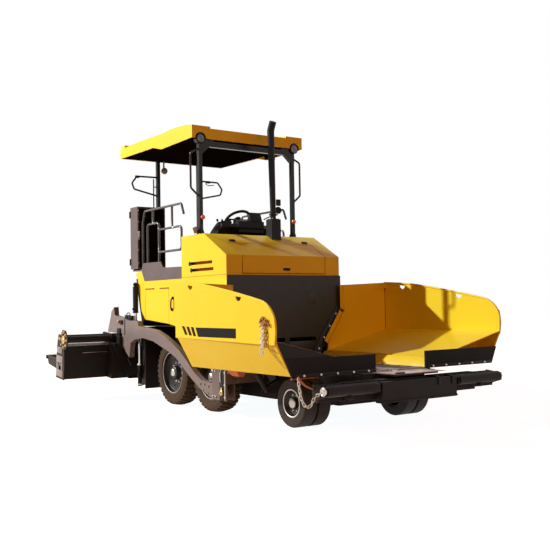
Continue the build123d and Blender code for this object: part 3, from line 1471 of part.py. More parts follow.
WING_BARREL_R = 36.0
WING_ROD_R = 18.0
run_y = top_y - cyl_low_y
run_z = top_z - cyl_low_z
run = math.hypot(run_y, run_z)
BARREL_SHARE = 0.80
direction = Plane(
    origin=(WING_CYL_X, -cyl_low_y, cyl_low_z),
    x_dir=(1, 0, 0),
    z_dir=(0, -run_y, run_z),
)
eye = Cylinder(CYL_EYE_R - 6, CYL_EYE_W, rotation=(0, 90, 0))
eye_hole = Cylinder(PIN_R + PIN_FIT, CYL_EYE_W + 20, rotation=(0, 90, 0))
barrel = Pos(0, 0, run * BARREL_SHARE / 2 + 14) * Cylinder(WING_BARREL_R, run * BARREL_SHARE - 28)
bore = Pos(0, 0, run / 2 + 30) * Cylinder(WING_ROD_R + FIT, run - 60)
wing_barrel = direction * ((barrel - bore + eye) - eye_hole)
rod = Pos(0, 0, run / 2 + 20) * Cylinder(WING_ROD_R, run - 90)
top_eye = Pos(0, 0, run) * eye
rod_shape = rod + top_eye - Pos(0, 0, run) * eye_hole
wing_rod = direction * rod_shape
keep("wing_barrel_right", wing_barrel)
keep("wing_barrel_left", other_side(wing_barrel))
keep("wing_rod_right", wing_rod)
keep("wing_rod_left", other_side(wing_rod))

# Write every piece, in the frame of the whole machine

os.makedirs("parts", exist_ok=True)
for name, shape in nodes.items():
    placed = Pos(-ORIGIN_X, 0, 0) * shape
    placed.label = name
    export_step(placed, f"parts/{name}.step")
    limits = placed.bounding_box()
    print(name, [round(v) for v in (*limits.min, *limits.max)], "solids", len(placed.solids()))
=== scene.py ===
import json
import math

import bpy
from mathutils import Matrix, Vector


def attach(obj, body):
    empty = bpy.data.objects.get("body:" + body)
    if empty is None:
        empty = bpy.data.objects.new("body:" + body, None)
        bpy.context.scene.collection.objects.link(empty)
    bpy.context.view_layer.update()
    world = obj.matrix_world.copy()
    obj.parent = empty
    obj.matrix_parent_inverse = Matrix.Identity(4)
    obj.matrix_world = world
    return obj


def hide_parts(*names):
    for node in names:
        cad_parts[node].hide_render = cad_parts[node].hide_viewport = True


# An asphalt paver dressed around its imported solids. Metres, +X is the travel direction,
# +Y the left side, +Z up. The lit right side and the hopper face the camera.

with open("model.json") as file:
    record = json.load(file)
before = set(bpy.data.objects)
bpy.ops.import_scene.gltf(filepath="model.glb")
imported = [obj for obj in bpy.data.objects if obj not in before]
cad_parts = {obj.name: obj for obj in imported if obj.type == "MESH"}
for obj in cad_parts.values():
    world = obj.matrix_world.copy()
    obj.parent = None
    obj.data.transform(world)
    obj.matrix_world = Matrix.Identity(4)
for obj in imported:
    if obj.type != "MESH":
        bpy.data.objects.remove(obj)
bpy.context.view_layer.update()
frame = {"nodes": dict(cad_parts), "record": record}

# Camera: a long lens at eye height off the right front corner, level with a small roll.

CAMERA_PLACE = Vector((9.565, -6.440, 1.383))
CAMERA_AZIMUTH = 54.938
CAMERA_PITCH = 2.046
CAMERA_ROLL = -0.961
SENSOR_WIDTH = 36.0
LENS = 54.21

turn = math.radians(CAMERA_AZIMUTH)
tilt = math.radians(CAMERA_PITCH)
ahead = Vector((-math.sin(turn) * math.cos(tilt), math.cos(turn) * math.cos(tilt), math.sin(tilt)))
right = Vector((math.cos(turn), math.sin(turn), 0.0))
level = Matrix((right, right.cross(ahead), -ahead)).transposed()
rolled = level @ Matrix.Rotation(math.radians(CAMERA_ROLL), 3, "Z")
camera_data = bpy.data.cameras.new("camera")
camera_data.sensor_width = SENSOR_WIDTH
camera_data.lens = LENS
camera = bpy.data.objects.new("camera", camera_data)
camera.matrix_world = Matrix.Translation(CAMERA_PLACE) @ rolled.to_4x4()
bpy.context.scene.collection.objects.link(camera)
bpy.context.scene.camera = camera

# Studio: a pale floor and backdrop, a key lamp high behind the right rear corner, a weak
# fill from the front and an even pale world. The background and the lit floor show white.

FLOOR_SIZE = 90.0
FLOOR_COLOUR = (0.62, 0.40, 0.24, 1.0)
FLOOR_GLOW = (0.93, 0.96, 0.975, 1.0)
FLOOR_ROUGHNESS = 0.95
WORLD_COLOUR = (1.0, 0.40, 0.26, 1.0)
WORLD_LIGHT = 0.14
# Lamps: name, place, aim, size, power, colour
LAMPS = (
    ("key_lamp", (-20.0, -23.5, 17.4), (0.2, 0.0, 1.2), 0.5, 14500.0, (1.0, 0.985, 0.94)),
    ("front_lamp", (13.0, -1.0, 5.0), (0.0, 0.0, 1.3), 6.0, 190.0, (1.0, 0.25, 0.15)),
)


def node(nodes, kind, **values):
    """A new shader node. A value whose key starts with in_ is set on that input."""
    made = nodes.new(kind)
    for key, value in values.items():
        if key.startswith("in_"):
            socket = key[3:]
            made.inputs[int(socket) if socket.isdigit() else socket.replace("_", " ")].default_value = value
        else:
            setattr(made, key, value)
    return made


def maths(nodes, operation):
    return node(nodes, "ShaderNodeMath", operation=operation)


def wired(links, *wires):
    """Each wire runs from a node and its output to a node and its input."""
    for start, output, end, socket in wires:
        links.new(start.outputs[output], end.inputs[socket])


def plainly_seen(nodes, links):
    """One for rays from the camera, off gloss or through glass, and zero for all others."""
    ray = nodes.new("ShaderNodeLightPath")
    camera_or_glossy, seen = maths(nodes, "MAXIMUM"), maths(nodes, "MAXIMUM")
    wired(
        links,
        (ray, "Is Camera Ray", camera_or_glossy, 0), (ray, "Is Glossy Ray", camera_or_glossy, 1),
        (camera_or_glossy, 0, seen, 0), (ray, "Is Transmission Ray", seen, 1),
    )
    return seen


for name, place, target, size, power, colour in LAMPS:
    bpy.ops.object.light_add(type="AREA", location=place)
    lamp = bpy.context.object
    lamp.name = name
    lamp.data.size = size
    lamp.data.energy = power
    lamp.data.color = colour
    look = Vector(target) - lamp.location
    lamp.rotation_euler = look.to_track_quat("-Z", "Y").to_euler()

bpy.ops.mesh.primitive_plane_add(size=FLOOR_SIZE, location=(0, 0, 0))
floor = bpy.context.object
floor.name = "studio_floor"
floor_finish = bpy.data.materials.new("pale_floor")
floor_finish.use_nodes = True
nodes, links = floor_finish.node_tree.nodes, floor_finish.node_tree.links
floor_shader = nodes["Principled BSDF"]
floor_shader.inputs["Base Color"].default_value = FLOOR_COLOUR
floor_shader.inputs["Roughness"].default_value = FLOOR_ROUGHNESS
floor_shader.inputs["Specular IOR Level"].default_value = 0.0
glow = node(nodes, "ShaderNodeEmission", in_Color=FLOOR_GLOW)
both_shaders = nodes.new("ShaderNodeAddShader")
wired(
    links,
    (plainly_seen(nodes, links), 0, glow, "Strength"), (floor_shader, 0, both_shaders, 0),
    (glow, 0, both_shaders, 1), (both_shaders, 0, nodes["Material Output"], "Surface"),
)
floor.data.materials.append(floor_finish)

world = bpy.data.worlds.new("studio_world")
bpy.context.scene.world = world
world.use_nodes = True
nodes, links = world.node_tree.nodes, world.node_tree.links
nodes.clear()
lit = node(nodes, "ShaderNodeBackground", in_Color=WORLD_COLOUR, in_Strength=WORLD_LIGHT)
white = node(nodes, "ShaderNodeBackground", in_Color=(1.0, 1.0, 1.0, 1.0), in_Strength=1.0)
blend = nodes.new("ShaderNodeMixShader")
out = nodes.new("ShaderNodeOutputWorld")
wired(
    links,
    (plainly_seen(nodes, links), 0, blend, "Fac"), (lit, 0, blend, 1), (white, 0, blend, 2),
    (blend, 0, out, "Surface"),
)
bpy.context.scene.view_settings.view_transform = "Standard"

# Hood over the engine: welded sheet steel, sprayed yellow, with a lid at the front that
# swings up on barrel hinges. Its edges are rolled, its slots have troughs behind them,
# painted dark orange as painted shade.

SIDES = ((-1, "right"), (1, "left"))
HOOD_SIDE_Y = 0.92
HOOD_NOSE_X = 0.63
HOOD_EDGE = 0.006
HOOD_SLOPE = 29.3
# Side slots: rear x, front x, middle z
HOOD_SLOTS = ((-0.320, 0.280, 1.955), (-0.280, 0.310, 1.865))
SLOT_HALF = 0.024
SLOT_SHADE_CAP = ((-0.030, 0.032), (0.002, 0.032), (0.004, 0.028), (0.001, 0.020))
SLOPE_LATCHES = (-0.60, 0.60)
WELD = 0.00005
FLAT_ANGLE = 1.0
EDGE_ANGLE = 30.0


# Every finish shares three effects: a fine sprayed grain, a colour that settles low and on
# upward faces, and wear along the edges. That colour is dust on most finishes and painted
# shade on the yellow paint.
def shader_group(name, inputs, outputs):
    """A node group with its tree's parts and its input, output and place nodes."""
    group = bpy.data.node_groups.new(name, "ShaderNodeTree")
    number = "NodeSocketFloat"
    for label, start in inputs.items():
        socket = group.interface.new_socket(label, in_out="INPUT", socket_type=number)
        socket.default_value = start
    for label in outputs:
        group.interface.new_socket(label, in_out="OUTPUT", socket_type=number)
    kinds = ("NodeGroupInput", "NodeGroupOutput", "ShaderNodeTexCoord")
    return group, group.nodes, group.links, *[group.nodes.new(kind) for kind in kinds]


def ranged(nodes, low, high, to_low, to_high):
    return node(nodes, "ShaderNodeMapRange", in_1=low, in_2=high, in_3=to_low, in_4=to_high)


grain_group, nodes, links, take, give, place = shader_group("sprayed_grain", {"Scale": 240.0}, ("Height",))
fine = node(nodes, "ShaderNodeTexNoise", in_Detail=2.0)
wired(
    links,
    (place, "Object", fine, "Vector"), (take, "Scale", fine, "Scale"), (fine, "Fac", give, "Height"),
)

dust_and_shade_group, nodes, links, take, give, place = shader_group(
    "dust_and_low_shade", {"Low Reach": 0.9, "On Top": 0.3, "Patch Scale": 2.2}, ("Mask", "Patches")
)
shape = nodes.new("ShaderNodeNewGeometry")
split, facing = nodes.new("ShaderNodeSeparateXYZ"), nodes.new("ShaderNodeSeparateXYZ")
patches = node(nodes, "ShaderNodeTexNoise", in_Detail=6.0, in_Roughness=0.62)
low = ranged(nodes, 0.0, 1.0, 1.0, 0.0)
upward = ranged(nodes, 0.35, 1.0, 0.0, 1.0)
spread = ranged(nodes, 0.36, 0.68, 0.15, 1.0)
topped, summed, broken = maths(nodes, "MULTIPLY"), maths(nodes, "ADD"), maths(nodes, "MULTIPLY")
kept = node(nodes, "ShaderNodeClamp")
wired(
    links,
    (place, "Object", patches, "Vector"), (take, "Patch Scale", patches, "Scale"),
    (place, "Object", split, 0), (split, "Z", low, 0), (take, "Low Reach", low, 2),
    (shape, "Normal", facing, 0), (facing, "Z", upward, 0), (upward, 0, topped, 0),
    (take, "On Top", topped, 1), (low, 0, summed, 0), (topped, 0, summed, 1),
    (patches, "Fac", spread, 0), (summed, 0, broken, 0), (spread, 0, broken, 1),
    (broken, 0, kept, 0), (kept, 0, give, "Mask"), (patches, "Fac", give, "Patches"),
)

edge_group, nodes, links, take, give, place = shader_group(
    "rubbed_edges", {"Width": 0.012, "Amount": 0.5}, ("Mask",)
)
shape = nodes.new("ShaderNodeNewGeometry")
rounded = node(nodes, "ShaderNodeBevel", samples=4)
alike = node(nodes, "ShaderNodeVectorMath", operation="DOT_PRODUCT")
edge = ranged(nodes, 0.995, 0.90, 0.0, 1.0)
chips = node(nodes, "ShaderNodeTexNoise", in_Scale=34.0, in_Detail=5.0)
bitten = ranged(nodes, 0.42, 0.60, 0.0, 1.0)
both_masks, scaled = maths(nodes, "MULTIPLY"), maths(nodes, "MULTIPLY")
wired(
    links,
    (take, "Width", rounded, "Radius"), (rounded, "Normal", alike, 0), (shape, "True Normal", alike, 1),
    (alike, "Value", edge, 0), (place, "Object", chips, "Vector"), (chips, "Fac", bitten, 0),
    (edge, 0, both_masks, 0), (bitten, 0, both_masks, 1), (both_masks, 0, scaled, 0),
    (take, "Amount", scaled, 1), (scaled, 0, give, "Mask"),
)


def coated(
    name, colour, deep, rough, wear_colour, wear=0.3, dust=(0.8, 0.2), dust_and_shade_colour=(0.30, 0.24, 0.18),
    grain=260.0, bump=0.04, coat=0.0, metal=0.0, shine=0.5,
):
    """A finish in three layers: its colour with slow variation, wear along the edges, and dust that is
    painted shade on the yellow.
    """
    finish = bpy.data.materials.new(name)
    finish.use_nodes = True
    nodes, links = finish.node_tree.nodes, finish.node_tree.links
    shader = nodes["Principled BSDF"]
    for socket, value in (
        ("Coat Weight", coat), ("Coat Roughness", 0.12), ("Specular IOR Level", shine), ("Metallic", metal),
    ):
        shader.inputs[socket].default_value = value
    grained = node(nodes, "ShaderNodeGroup", node_tree=grain_group, in_Scale=grain)
    dust_and_shade_masks = node(nodes, "ShaderNodeGroup", node_tree=dust_and_shade_group, in_Low_Reach=dust[0], in_On_Top=dust[1])
    rubbed = node(nodes, "ShaderNodeGroup", node_tree=edge_group, in_Amount=wear)
    varied = node(nodes, "ShaderNodeMix", data_type="RGBA", in_6=(*colour, 1.0), in_7=(*deep, 1.0))
    slow = ranged(nodes, 0.35, 0.70, 0.0, 1.0)
    worn = node(nodes, "ShaderNodeMix", data_type="RGBA", in_7=(*wear_colour, 1.0))
    dust_and_shade_mix = node(nodes, "ShaderNodeMix", data_type="RGBA", in_7=(*dust_and_shade_colour, 1.0))
    matt = ranged(nodes, 0.0, 1.0, rough, 0.85)
    uneven = ranged(nodes, 0.3, 0.7, -0.05, 0.06)
    rough_sum = maths(nodes, "ADD")
    relief = node(nodes, "ShaderNodeBump", in_Strength=bump * 4.0, in_Distance=0.002)
    wired(
        links,
        (dust_and_shade_masks, "Patches", slow, 0), (slow, 0, varied, 0), (varied, 2, worn, 6), (rubbed, "Mask", worn, 0),
        (worn, 2, dust_and_shade_mix, 6), (dust_and_shade_masks, "Mask", dust_and_shade_mix, 0), (dust_and_shade_mix, 2, shader, "Base Color"),
        (dust_and_shade_masks, "Mask", matt, 0), (dust_and_shade_masks, "Patches", uneven, 0), (matt, 0, rough_sum, 0),
        (uneven, 0, rough_sum, 1), (rough_sum, 0, shader, "Roughness"),
        (grained, "Height", relief, "Height"), (relief, "Normal", shader, "Normal"),
    )
    return finish


node_bodies = {
    name: body for body, names in frame["record"]["behaviour"]["bodies"].items() for name in names
}


def only(*pieces):
    bpy.ops.object.select_all(action="DESELECT")
    for piece in pieces:
        piece.select_set(True)
    bpy.context.view_layer.objects.active = pieces[0]


def edit_all(piece):
    only(piece)
    bpy.ops.object.mode_set(mode="EDIT")
    bpy.ops.mesh.select_all(action="SELECT")


def pick(piece, wanted):
    """Enters edit mode with only the wanted corners selected."""
    edit_all(piece)
    bpy.ops.mesh.select_mode(type="VERT")
    bpy.ops.mesh.select_all(action="DESELECT")
    bpy.ops.object.mode_set(mode="OBJECT")
    for vertex in piece.data.vertices:
        vertex.select = wanted(piece.matrix_world @ vertex.co)
    bpy.ops.object.mode_set(mode="EDIT")


def shift(piece, wanted, move):
    """Moves the wanted corners."""
    pick(piece, wanted)
    bpy.ops.transform.translate(value=move)
    bpy.ops.object.mode_set(mode="OBJECT")


def copied(piece):
    """A copy with its own mesh."""
    twin = piece.copy()
    twin.data = piece.data.copy()
    bpy.context.scene.collection.objects.link(twin)
    return twin


def worked(piece, kind, **settings):
    """Gives the active piece a modifier and applies it."""
    modifier = piece.modifiers.new(kind.lower(), kind)
    for key, value in settings.items():
        setattr(modifier, key, value)
    bpy.ops.object.modifier_apply(modifier=modifier.name)


def softened(name, finish, width=0.004, smooth=35.0):
    """A solid welded together, its flat faces joined and its edges rounded. It stands for its node."""
    source = frame["nodes"][name]
    piece = copied(source)
    piece.name = "dressed_" + name
    piece.parent = None
    piece.matrix_world = source.matrix_world.copy()
    only(piece)
    bpy.ops.object.transform_apply()
    edit_all(piece)
    bpy.ops.mesh.customdata_custom_splitnormals_clear()
    bpy.ops.mesh.remove_doubles(threshold=WELD)
    bpy.ops.mesh.dissolve_limited(angle_limit=math.radians(FLAT_ANGLE))
    bpy.ops.object.mode_set(mode="OBJECT")
    if width:
        limit = math.radians(EDGE_ANGLE)
        worked(piece, "BEVEL", width=width, segments=2, limit_method="ANGLE", angle_limit=limit)
    bpy.ops.object.shade_smooth_by_angle(angle=math.radians(smooth))
    worked(piece, "WEIGHTED_NORMAL", keep_sharp=True)
    piece.data.materials.clear()
    piece.data.materials.append(finish)
    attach(piece, node_bodies[name])
    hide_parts(name)
    return piece


def settle(pieces, name, finish, beside, smooth=35.0):
    """Joins the parts of a new piece, fixes its place in its mesh and rides it with the node beside it."""
    piece = pieces[0]
    only(*pieces)
    if len(pieces) > 1:
        bpy.ops.object.join()
    piece.name = name
    bpy.ops.object.transform_apply()
    bpy.ops.object.shade_smooth_by_angle(angle=math.radians(smooth))
    piece.data.materials.clear()
    piece.data.materials.append(finish)
    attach(piece, node_bodies[beside])
    return piece


def bar(xs, ys, zs, edge=0.002, lean=(0.0, 0.0, 0.0)):
    """A cut length of plate or bar between its limits, with its edges broken, leaning about its middle."""
    middle = [sum(limits) / 2 for limits in (xs, ys, zs)]
    bpy.ops.object.select_all(action="DESELECT")
    bpy.ops.mesh.primitive_cube_add(size=1.0, location=middle)
    piece = bpy.context.object
    piece.scale = [abs(limits[1] - limits[0]) for limits in (xs, ys, zs)]
    bpy.ops.object.transform_apply(location=False, rotation=False)
    if edge:
        bpy.ops.object.mode_set(mode="EDIT")
        bpy.ops.mesh.bevel(offset=edge, segments=2, affect="EDGES")
        bpy.ops.object.mode_set(mode="OBJECT")
    piece.rotation_euler = [math.radians(angle) for angle in lean]
    return piece


def lathe(middle, axis, rings, segments=24, hollow=False):
    """A turned part: a circle drawn out along the axis and sized at each (distance, radius).
    Its ends are closed, or it is hollow and comes back to its first circle."""
    start, radius = rings[0]
    rings = (*rings, rings[0]) if hollow else rings
    bpy.ops.object.select_all(action="DESELECT")
    bpy.ops.mesh.primitive_circle_add(vertices=segments, radius=radius, location=(0, 0, 0))
    piece = bpy.context.object
    bpy.ops.object.mode_set(mode="EDIT")
    bpy.ops.mesh.select_all(action="SELECT")
    bpy.ops.transform.translate(value=(0, 0, start))
    for distance, size in rings[1:]:
        bpy.ops.mesh.extrude_region_move(TRANSFORM_OT_translate={"value": (0, 0, distance - start)})
        share = size / radius
        bpy.ops.transform.resize(value=(share, share, 1.0), center_override=(0, 0, distance))
        start, radius = distance, size
    bpy.ops.mesh.select_all(action="SELECT")
    bpy.ops.mesh.remove_doubles(threshold=WELD)
    if not hollow:
        bpy.ops.mesh.fill_holes(sides=0)
    bpy.ops.mesh.select_all(action="SELECT")
    bpy.ops.mesh.normals_make_consistent(inside=False)
    bpy.ops.object.mode_set(mode="OBJECT")
    piece.rotation_euler = Vector(axis).to_track_quat("Z", "Y").to_euler()
    piece.location = middle
    only(piece)
    bpy.ops.object.transform_apply()
    return piece


def across(x, z, side, rings, segments=24, hollow=False):
    """A part turned about a line across the machine, its rings measured from the machine's middle."""
    return lathe((x, 0, z), (0, side, 0), rings, segments, hollow)


def bent(points, radius, closed=False):
    """A round rod bent smoothly along its points, with closed ends."""
    curve = bpy.data.curves.new("rod", "CURVE")
    curve.dimensions = "3D"
    curve.bevel_depth = radius
    curve.bevel_resolution = 3
    curve.use_fill_caps = True
    line = curve.splines.new("NURBS")
    line.points.add(len(points) - 1)
    for point, at in zip(line.points, points):
        point.co = (*at, 1.0)
    line.order_u = 3
    line.use_endpoint_u = not closed
    line.use_cyclic_u = closed
    line.resolution_u = 8
    piece = bpy.data.objects.new("rod", curve)
    bpy.context.scene.collection.objects.link(piece)
    only(piece)
    bpy.ops.object.convert(target="MESH")
    piece = bpy.context.object
    edit_all(piece)
    bpy.ops.mesh.remove_doubles(threshold=WELD)
    bpy.ops.mesh.normals_make_consistent(inside=False)
    bpy.ops.object.mode_set(mode="OBJECT")
    return piece


def other_side(piece):
    """A copy of the part, mirrored to the other side of the machine."""
    only(piece)
    bpy.ops.object.transform_apply()
    twin = copied(piece)
    twin.scale = (1.0, -1.0, 1.0)
    only(twin)
    bpy.ops.object.transform_apply()
    edit_all(twin)
    bpy.ops.mesh.normals_make_consistent(inside=False)
    bpy.ops.object.mode_set(mode="OBJECT")
    return twin


def bolt(middle, axis, size):
    """A hexagon head on a washer, standing out along the axis."""
    washer = lathe(middle, axis, ((-0.001, size * 1.25), (0.0015, size * 1.25), (0.0025, size * 1.1)), 16)
    head_rings = ((0.0, size), (size * 0.75, size), (size * 0.95, size * 0.8), (size * 0.95, 0.3 * size))
    head = lathe(middle, axis, head_rings, 6)
    only(washer, head)
    bpy.ops.object.join()
    return washer


# Yellow paint. Its dust colour is painted shade: below about 0.9 m the yellow turns a deeper orange for the
# dimmer lower skirts.
yellow_paint = coated(
    "yellow_paint", (0.97, 0.76, 0.020), (0.95, 0.72, 0.018), 0.42, (0.70, 0.36, 0.03), wear=0.2,
    dust=(0.9, 0.03), dust_and_shade_colour=(0.80, 0.48, 0.05), coat=0.05, shine=0.22,
)
black_plastic = coated(
    "black_plastic", (0.007, 0.0062, 0.0060), (0.010, 0.009, 0.0085), 0.5, (0.03, 0.03, 0.03), wear=0.3,
    dust=(0.8, 0.03), dust_and_shade_colour=(0.03, 0.024, 0.02), grain=700.0, bump=0.08, shine=0.15,
)
zinc_steel = coated(
    "zinc_plated_steel", (0.58, 0.56, 0.53), (0.44, 0.42, 0.40), 0.32, (0.75, 0.73, 0.70), wear=0.3,
    dust=(0.4, 0.1), metal=0.9, bump=0.05,
)
# A dark orange standing for yellow paint in shade: painted shade, used in the hood slots' troughs and along
# a few joints and edges.
painted_shade_orange = coated(
    "shaded_slot_paint", (0.62, 0.17, 0.012), (0.50, 0.12, 0.010), 0.5, (0.3, 0.08, 0.02), wear=0.3,
    shine=0.2,
)
softened("hood_shell", yellow_paint, HOOD_EDGE)
softened("hood_lid", yellow_paint, HOOD_EDGE)

for side, label in SIDES:
    troughs, caps = [], []
    for x0, x1, z in HOOD_SLOTS:
        xs = (x0 - 0.02, x1 + 0.02)
        inner_y, outer_y = side * (HOOD_SIDE_Y - 0.055), side * (HOOD_SIDE_Y - 0.004)
        troughs += [
            bar(xs, (inner_y, inner_y + side * 0.003), (z - 0.05, z + 0.05), 0.001),
            bar(xs, (inner_y, outer_y), (z - SLOT_HALF - 0.004, z - SLOT_HALF), 0.001),
            bar(xs, (inner_y, outer_y), (z + SLOT_HALF, z + SLOT_HALF + 0.004), 0.001),
        ]
        # Black round caps at each slot's rear end: painted shade, for the dark round ends of the slots.
        cap = [(HOOD_SIDE_Y + out, radius) for out, radius in SLOT_SHADE_CAP]
        caps.append(across(x0 + 0.008, z, side, cap))
    settle(troughs, f"hood_slot_troughs_{label}", painted_shade_orange, "hood_shell")
    settle(caps, f"hood_slot_shade_caps_{label}", black_plastic, "hood_shell")
    # A thin dark orange line along the joint at the hood's foot: painted shade in that joint.
    shade_line_ys = (side * (HOOD_SIDE_Y - 0.001), side * (HOOD_SIDE_Y + 0.0012))
    shade_line = bar((-0.546, HOOD_NOSE_X), shade_line_ys, (1.776, 1.782), 0.0)
    settle([shade_line], f"hood_foot_shade_line_{label}", painted_shade_orange, "hood_shell")

# Round key lock on the nose, lift handle in the lid and two rubber draw latches on its slope
lock = lathe(
    (HOOD_NOSE_X, -0.815, 1.936), (1, 0, 0),
    ((-0.002, 0.034), (0.003, 0.034), (0.005, 0.030), (0.003, 0.026), (0.003, 0.012), (0.007, 0.010)),
)
settle([lock], "hood_key_lock", yellow_paint, "hood_shell")
handle_rim = bar((HOOD_NOSE_X - 0.002, HOOD_NOSE_X + 0.004), (-0.035, 0.078), (1.832, 1.868), 0.0015)
handle_grip = bar((HOOD_NOSE_X + 0.004, HOOD_NOSE_X + 0.016), (0.030, 0.072), (1.838, 1.862), 0.004)
settle([handle_rim, handle_grip], "hood_lid_handle", black_plastic, "hood_lid")
latches = []
for latch_y in SLOPE_LATCHES:
    lean = (0, HOOD_SLOPE, 0)
    base = bar((0.255, 0.285), (latch_y - 0.05, latch_y + 0.05), (2.236, 2.243), 0.002, lean)
    strap = bar((0.248, 0.290), (latch_y - 0.014, latch_y + 0.014), (2.240, 2.249), 0.003, lean)
    tee_points = ((-0.045, 2.250), (0.0, 2.256), (0.045, 2.250))
    tee = bent([(0.262, latch_y + dy, z) for dy, z in tee_points], 0.007)
    latches += [base, strap, tee]
settle(latches, "hood_slope_latches", black_plastic, "hood_shell")

# Rear body shell under the hood and platform: two painted sheets with a tool door in each,
# hung on two barrel hinges along its top edge and pulled open by a black bow handle.

DOOR_HANDLE = (
    (-0.800, 0.930, 1.512), (-0.812, 0.950, 1.480), (-0.815, 0.954, 1.420), (-0.822, 0.950, 1.360),
    (-0.838, 0.930, 1.325),
)
DOOR_HINGE_Z = 1.645
DOOR_KNUCKLE_XS = (-1.655, -1.560, -1.465, -1.198, -1.103, -1.008)

# A dark red standing for shade: painted shade on the door hinges' knuckles and in the wings' inner corners.
dark_red_shade_paint = coated(
    "painted_shade_dark_red", (0.34, 0.07, 0.018), (0.22, 0.045, 0.012), 0.55, (0.10, 0.03, 0.01), wear=0.4,
    shine=0.3,
)
softened("rear_body_shell", yellow_paint, 0.003)
for side, label in SIDES:
    softened(f"side_door_{label}", yellow_paint, 0.002)
    grip = bent([(x, side * y, z) for x, y, z in DOOR_HANDLE], 0.010)
    feet = [
        bar((x - 0.016, x + 0.016), (side * 0.919, side * 0.936), (z - 0.020, z + 0.020), 0.004)
        for x, z in ((-0.806, 1.500), (-0.834, 1.338))
    ]
    settle([grip, *feet], f"side_door_handle_{label}", black_plastic, f"side_door_{label}")
    # The knuckles are real hinge parts; their dark red is painted shade along the doors' hinge line.
    barrel = ((0.0, 0.0085), (0.078, 0.0085), (0.079, 0.006))
    knuckles = [lathe((x, side * 0.921, DOOR_HINGE_Z), (1, 0, 0), barrel, 12) for x in DOOR_KNUCKLE_XS]
    settle(knuckles, f"side_door_hinges_{label}", dark_red_shade_paint, "rear_body_shell")

# Canopy: a moulded yellow roof on a black welded frame with four posts, mirror loops and
# grab handles. Domed work lamps sit in its front corners, with indicators on the posts.

LAMP_FACE = (-0.200, 0.792, 3.670)
INDICATOR = (-0.213, 0.770, 2.592)
POST_FOOT = (-0.250, 0.780, 2.357)
POST_BOLT = 0.052
CANOPY_SIDE_YS = (0.901, 0.905)
REAR_POST_X = -2.3

black_gloss = coated(
    "glossy_black_paint", (0.009, 0.0078, 0.0078), (0.012, 0.010, 0.010), 0.26, (0.05, 0.045, 0.045),
    wear=0.3, dust=(0.5, 0.03), dust_and_shade_colour=(0.04, 0.03, 0.024), coat=0.05, shine=0.25,
)
liner_and_shade_black = coated(
    "liner_and_shade_black", (0.006, 0.0050, 0.0048), (0.008, 0.007, 0.0065), 0.75, (0.02, 0.02, 0.02), wear=0.1,
    dust=(0.5, 0.02), dust_and_shade_colour=(0.02, 0.016, 0.013), grain=90.0, shine=0.0,
)
lamp_glass = coated(
    "smoked_lamp_glass", (0.020, 0.019, 0.020), (0.030, 0.028, 0.030), 0.10, (0.05, 0.05, 0.05), wear=0.0,
    dust=(0.3, 0.02), grain=60.0, bump=0.01, coat=0.8,
)
indicator_glass = coated(
    "amber_indicator_lens", (0.90, 0.13, 0.012), (0.80, 0.09, 0.010), 0.16, (0.95, 0.25, 0.05), wear=0.2,
    dust=(0.3, 0.03), grain=80.0, bump=0.03, coat=0.7,
)
pale_plastic = coated(
    "pale_grey_plastic", (0.46, 0.43, 0.45), (0.36, 0.33, 0.35), 0.4, (0.55, 0.52, 0.52), wear=0.2,
    dust=(0.5, 0.1),
)
softened("canopy_roof", yellow_paint, 0.012)
softened("canopy_frame", black_gloss, 0.004)

lining = bar((-2.474, -0.206), (-0.914, 0.914), (3.7325, 3.7345), 0.001)
linings = [lining, bar((-0.262, -0.258), (-0.690, 0.690), (3.690, 3.734), 0.0)]
boots, lenses, rings, beacons, stalks = [], [], [], [], []
for side, label in SIDES:
    ys = [side * y for y in CANOPY_SIDE_YS]
    linings.append(bar((-1.130, -0.255), ys, (3.664, 3.734), 0.0))
    linings.append(bar((-2.470, -1.130), ys, (3.722, 3.734), 0.0))
    x, y, z = POST_FOOT
    boot = ((0.0, 0.052), (0.030, 0.050), (0.055, 0.044), (0.070, 0.036))
    boots.append(lathe((x, side * y, z), (0, 0, 1), boot, 24))
    x, y, z = LAMP_FACE
    lens = ((-0.004, 0.058), (0.006, 0.055), (0.014, 0.044), (0.018, 0.026), (0.019, 0.008))
    ring = ((-0.010, 0.070), (0.004, 0.070), (0.006, 0.066), (0.004, 0.060), (-0.004, 0.058))
    lenses.append(lathe((x, side * y, z), (1, 0, 0), lens, 32))
    rings.append(lathe((x, side * y, z), (1, 0, 0), ring, 32))
    x, y, z = INDICATOR[0], side * INDICATOR[1], INDICATOR[2]
    beacon = ((0.0, 0.029), (0.016, 0.032), (0.032, 0.026), (0.041, 0.014), (0.043, 0.003))
    beacons.append(lathe((x, y, z), (1, 0, 0), beacon))
    stalks.append(lathe((x, y, z), (1, 0, 0), ((-0.014, 0.016), (-0.002, 0.026), (0.002, 0.026)), 20))
    stalks.append(bar((x - 0.012, x - 0.004), (y - 0.014, y + 0.014), (z - 0.085, z + 0.012), 0.002))
foot_bolts = [
    bolt((POST_FOOT[0] + dx, side * (POST_FOOT[1] + dy), POST_FOOT[2]), (0, 0, 1), 0.009)
    for dx in (-POST_BOLT, POST_BOLT) for dy in (-POST_BOLT, POST_BOLT) for side, label in SIDES
]
for parts, name, finish in (
    (linings, "canopy_lining", liner_and_shade_black), (boots, "post_foot_boots", black_plastic),
    (lenses, "work_lamp_lenses", lamp_glass), (rings, "work_lamp_rings", black_plastic),
    (beacons, "post_indicators", indicator_glass), (stalks, "post_indicator_brackets", black_plastic),
    (foot_bolts, "post_foot_bolts", zinc_steel),
):
    settle(parts, name, finish, "canopy_frame")
plate = bar((-0.262, -0.254), (-0.892, -0.812), (2.375, 2.460), 0.002, (18, 0, 0))
settle([plate], "post_foot_plate", pale_plastic, "canopy_frame")
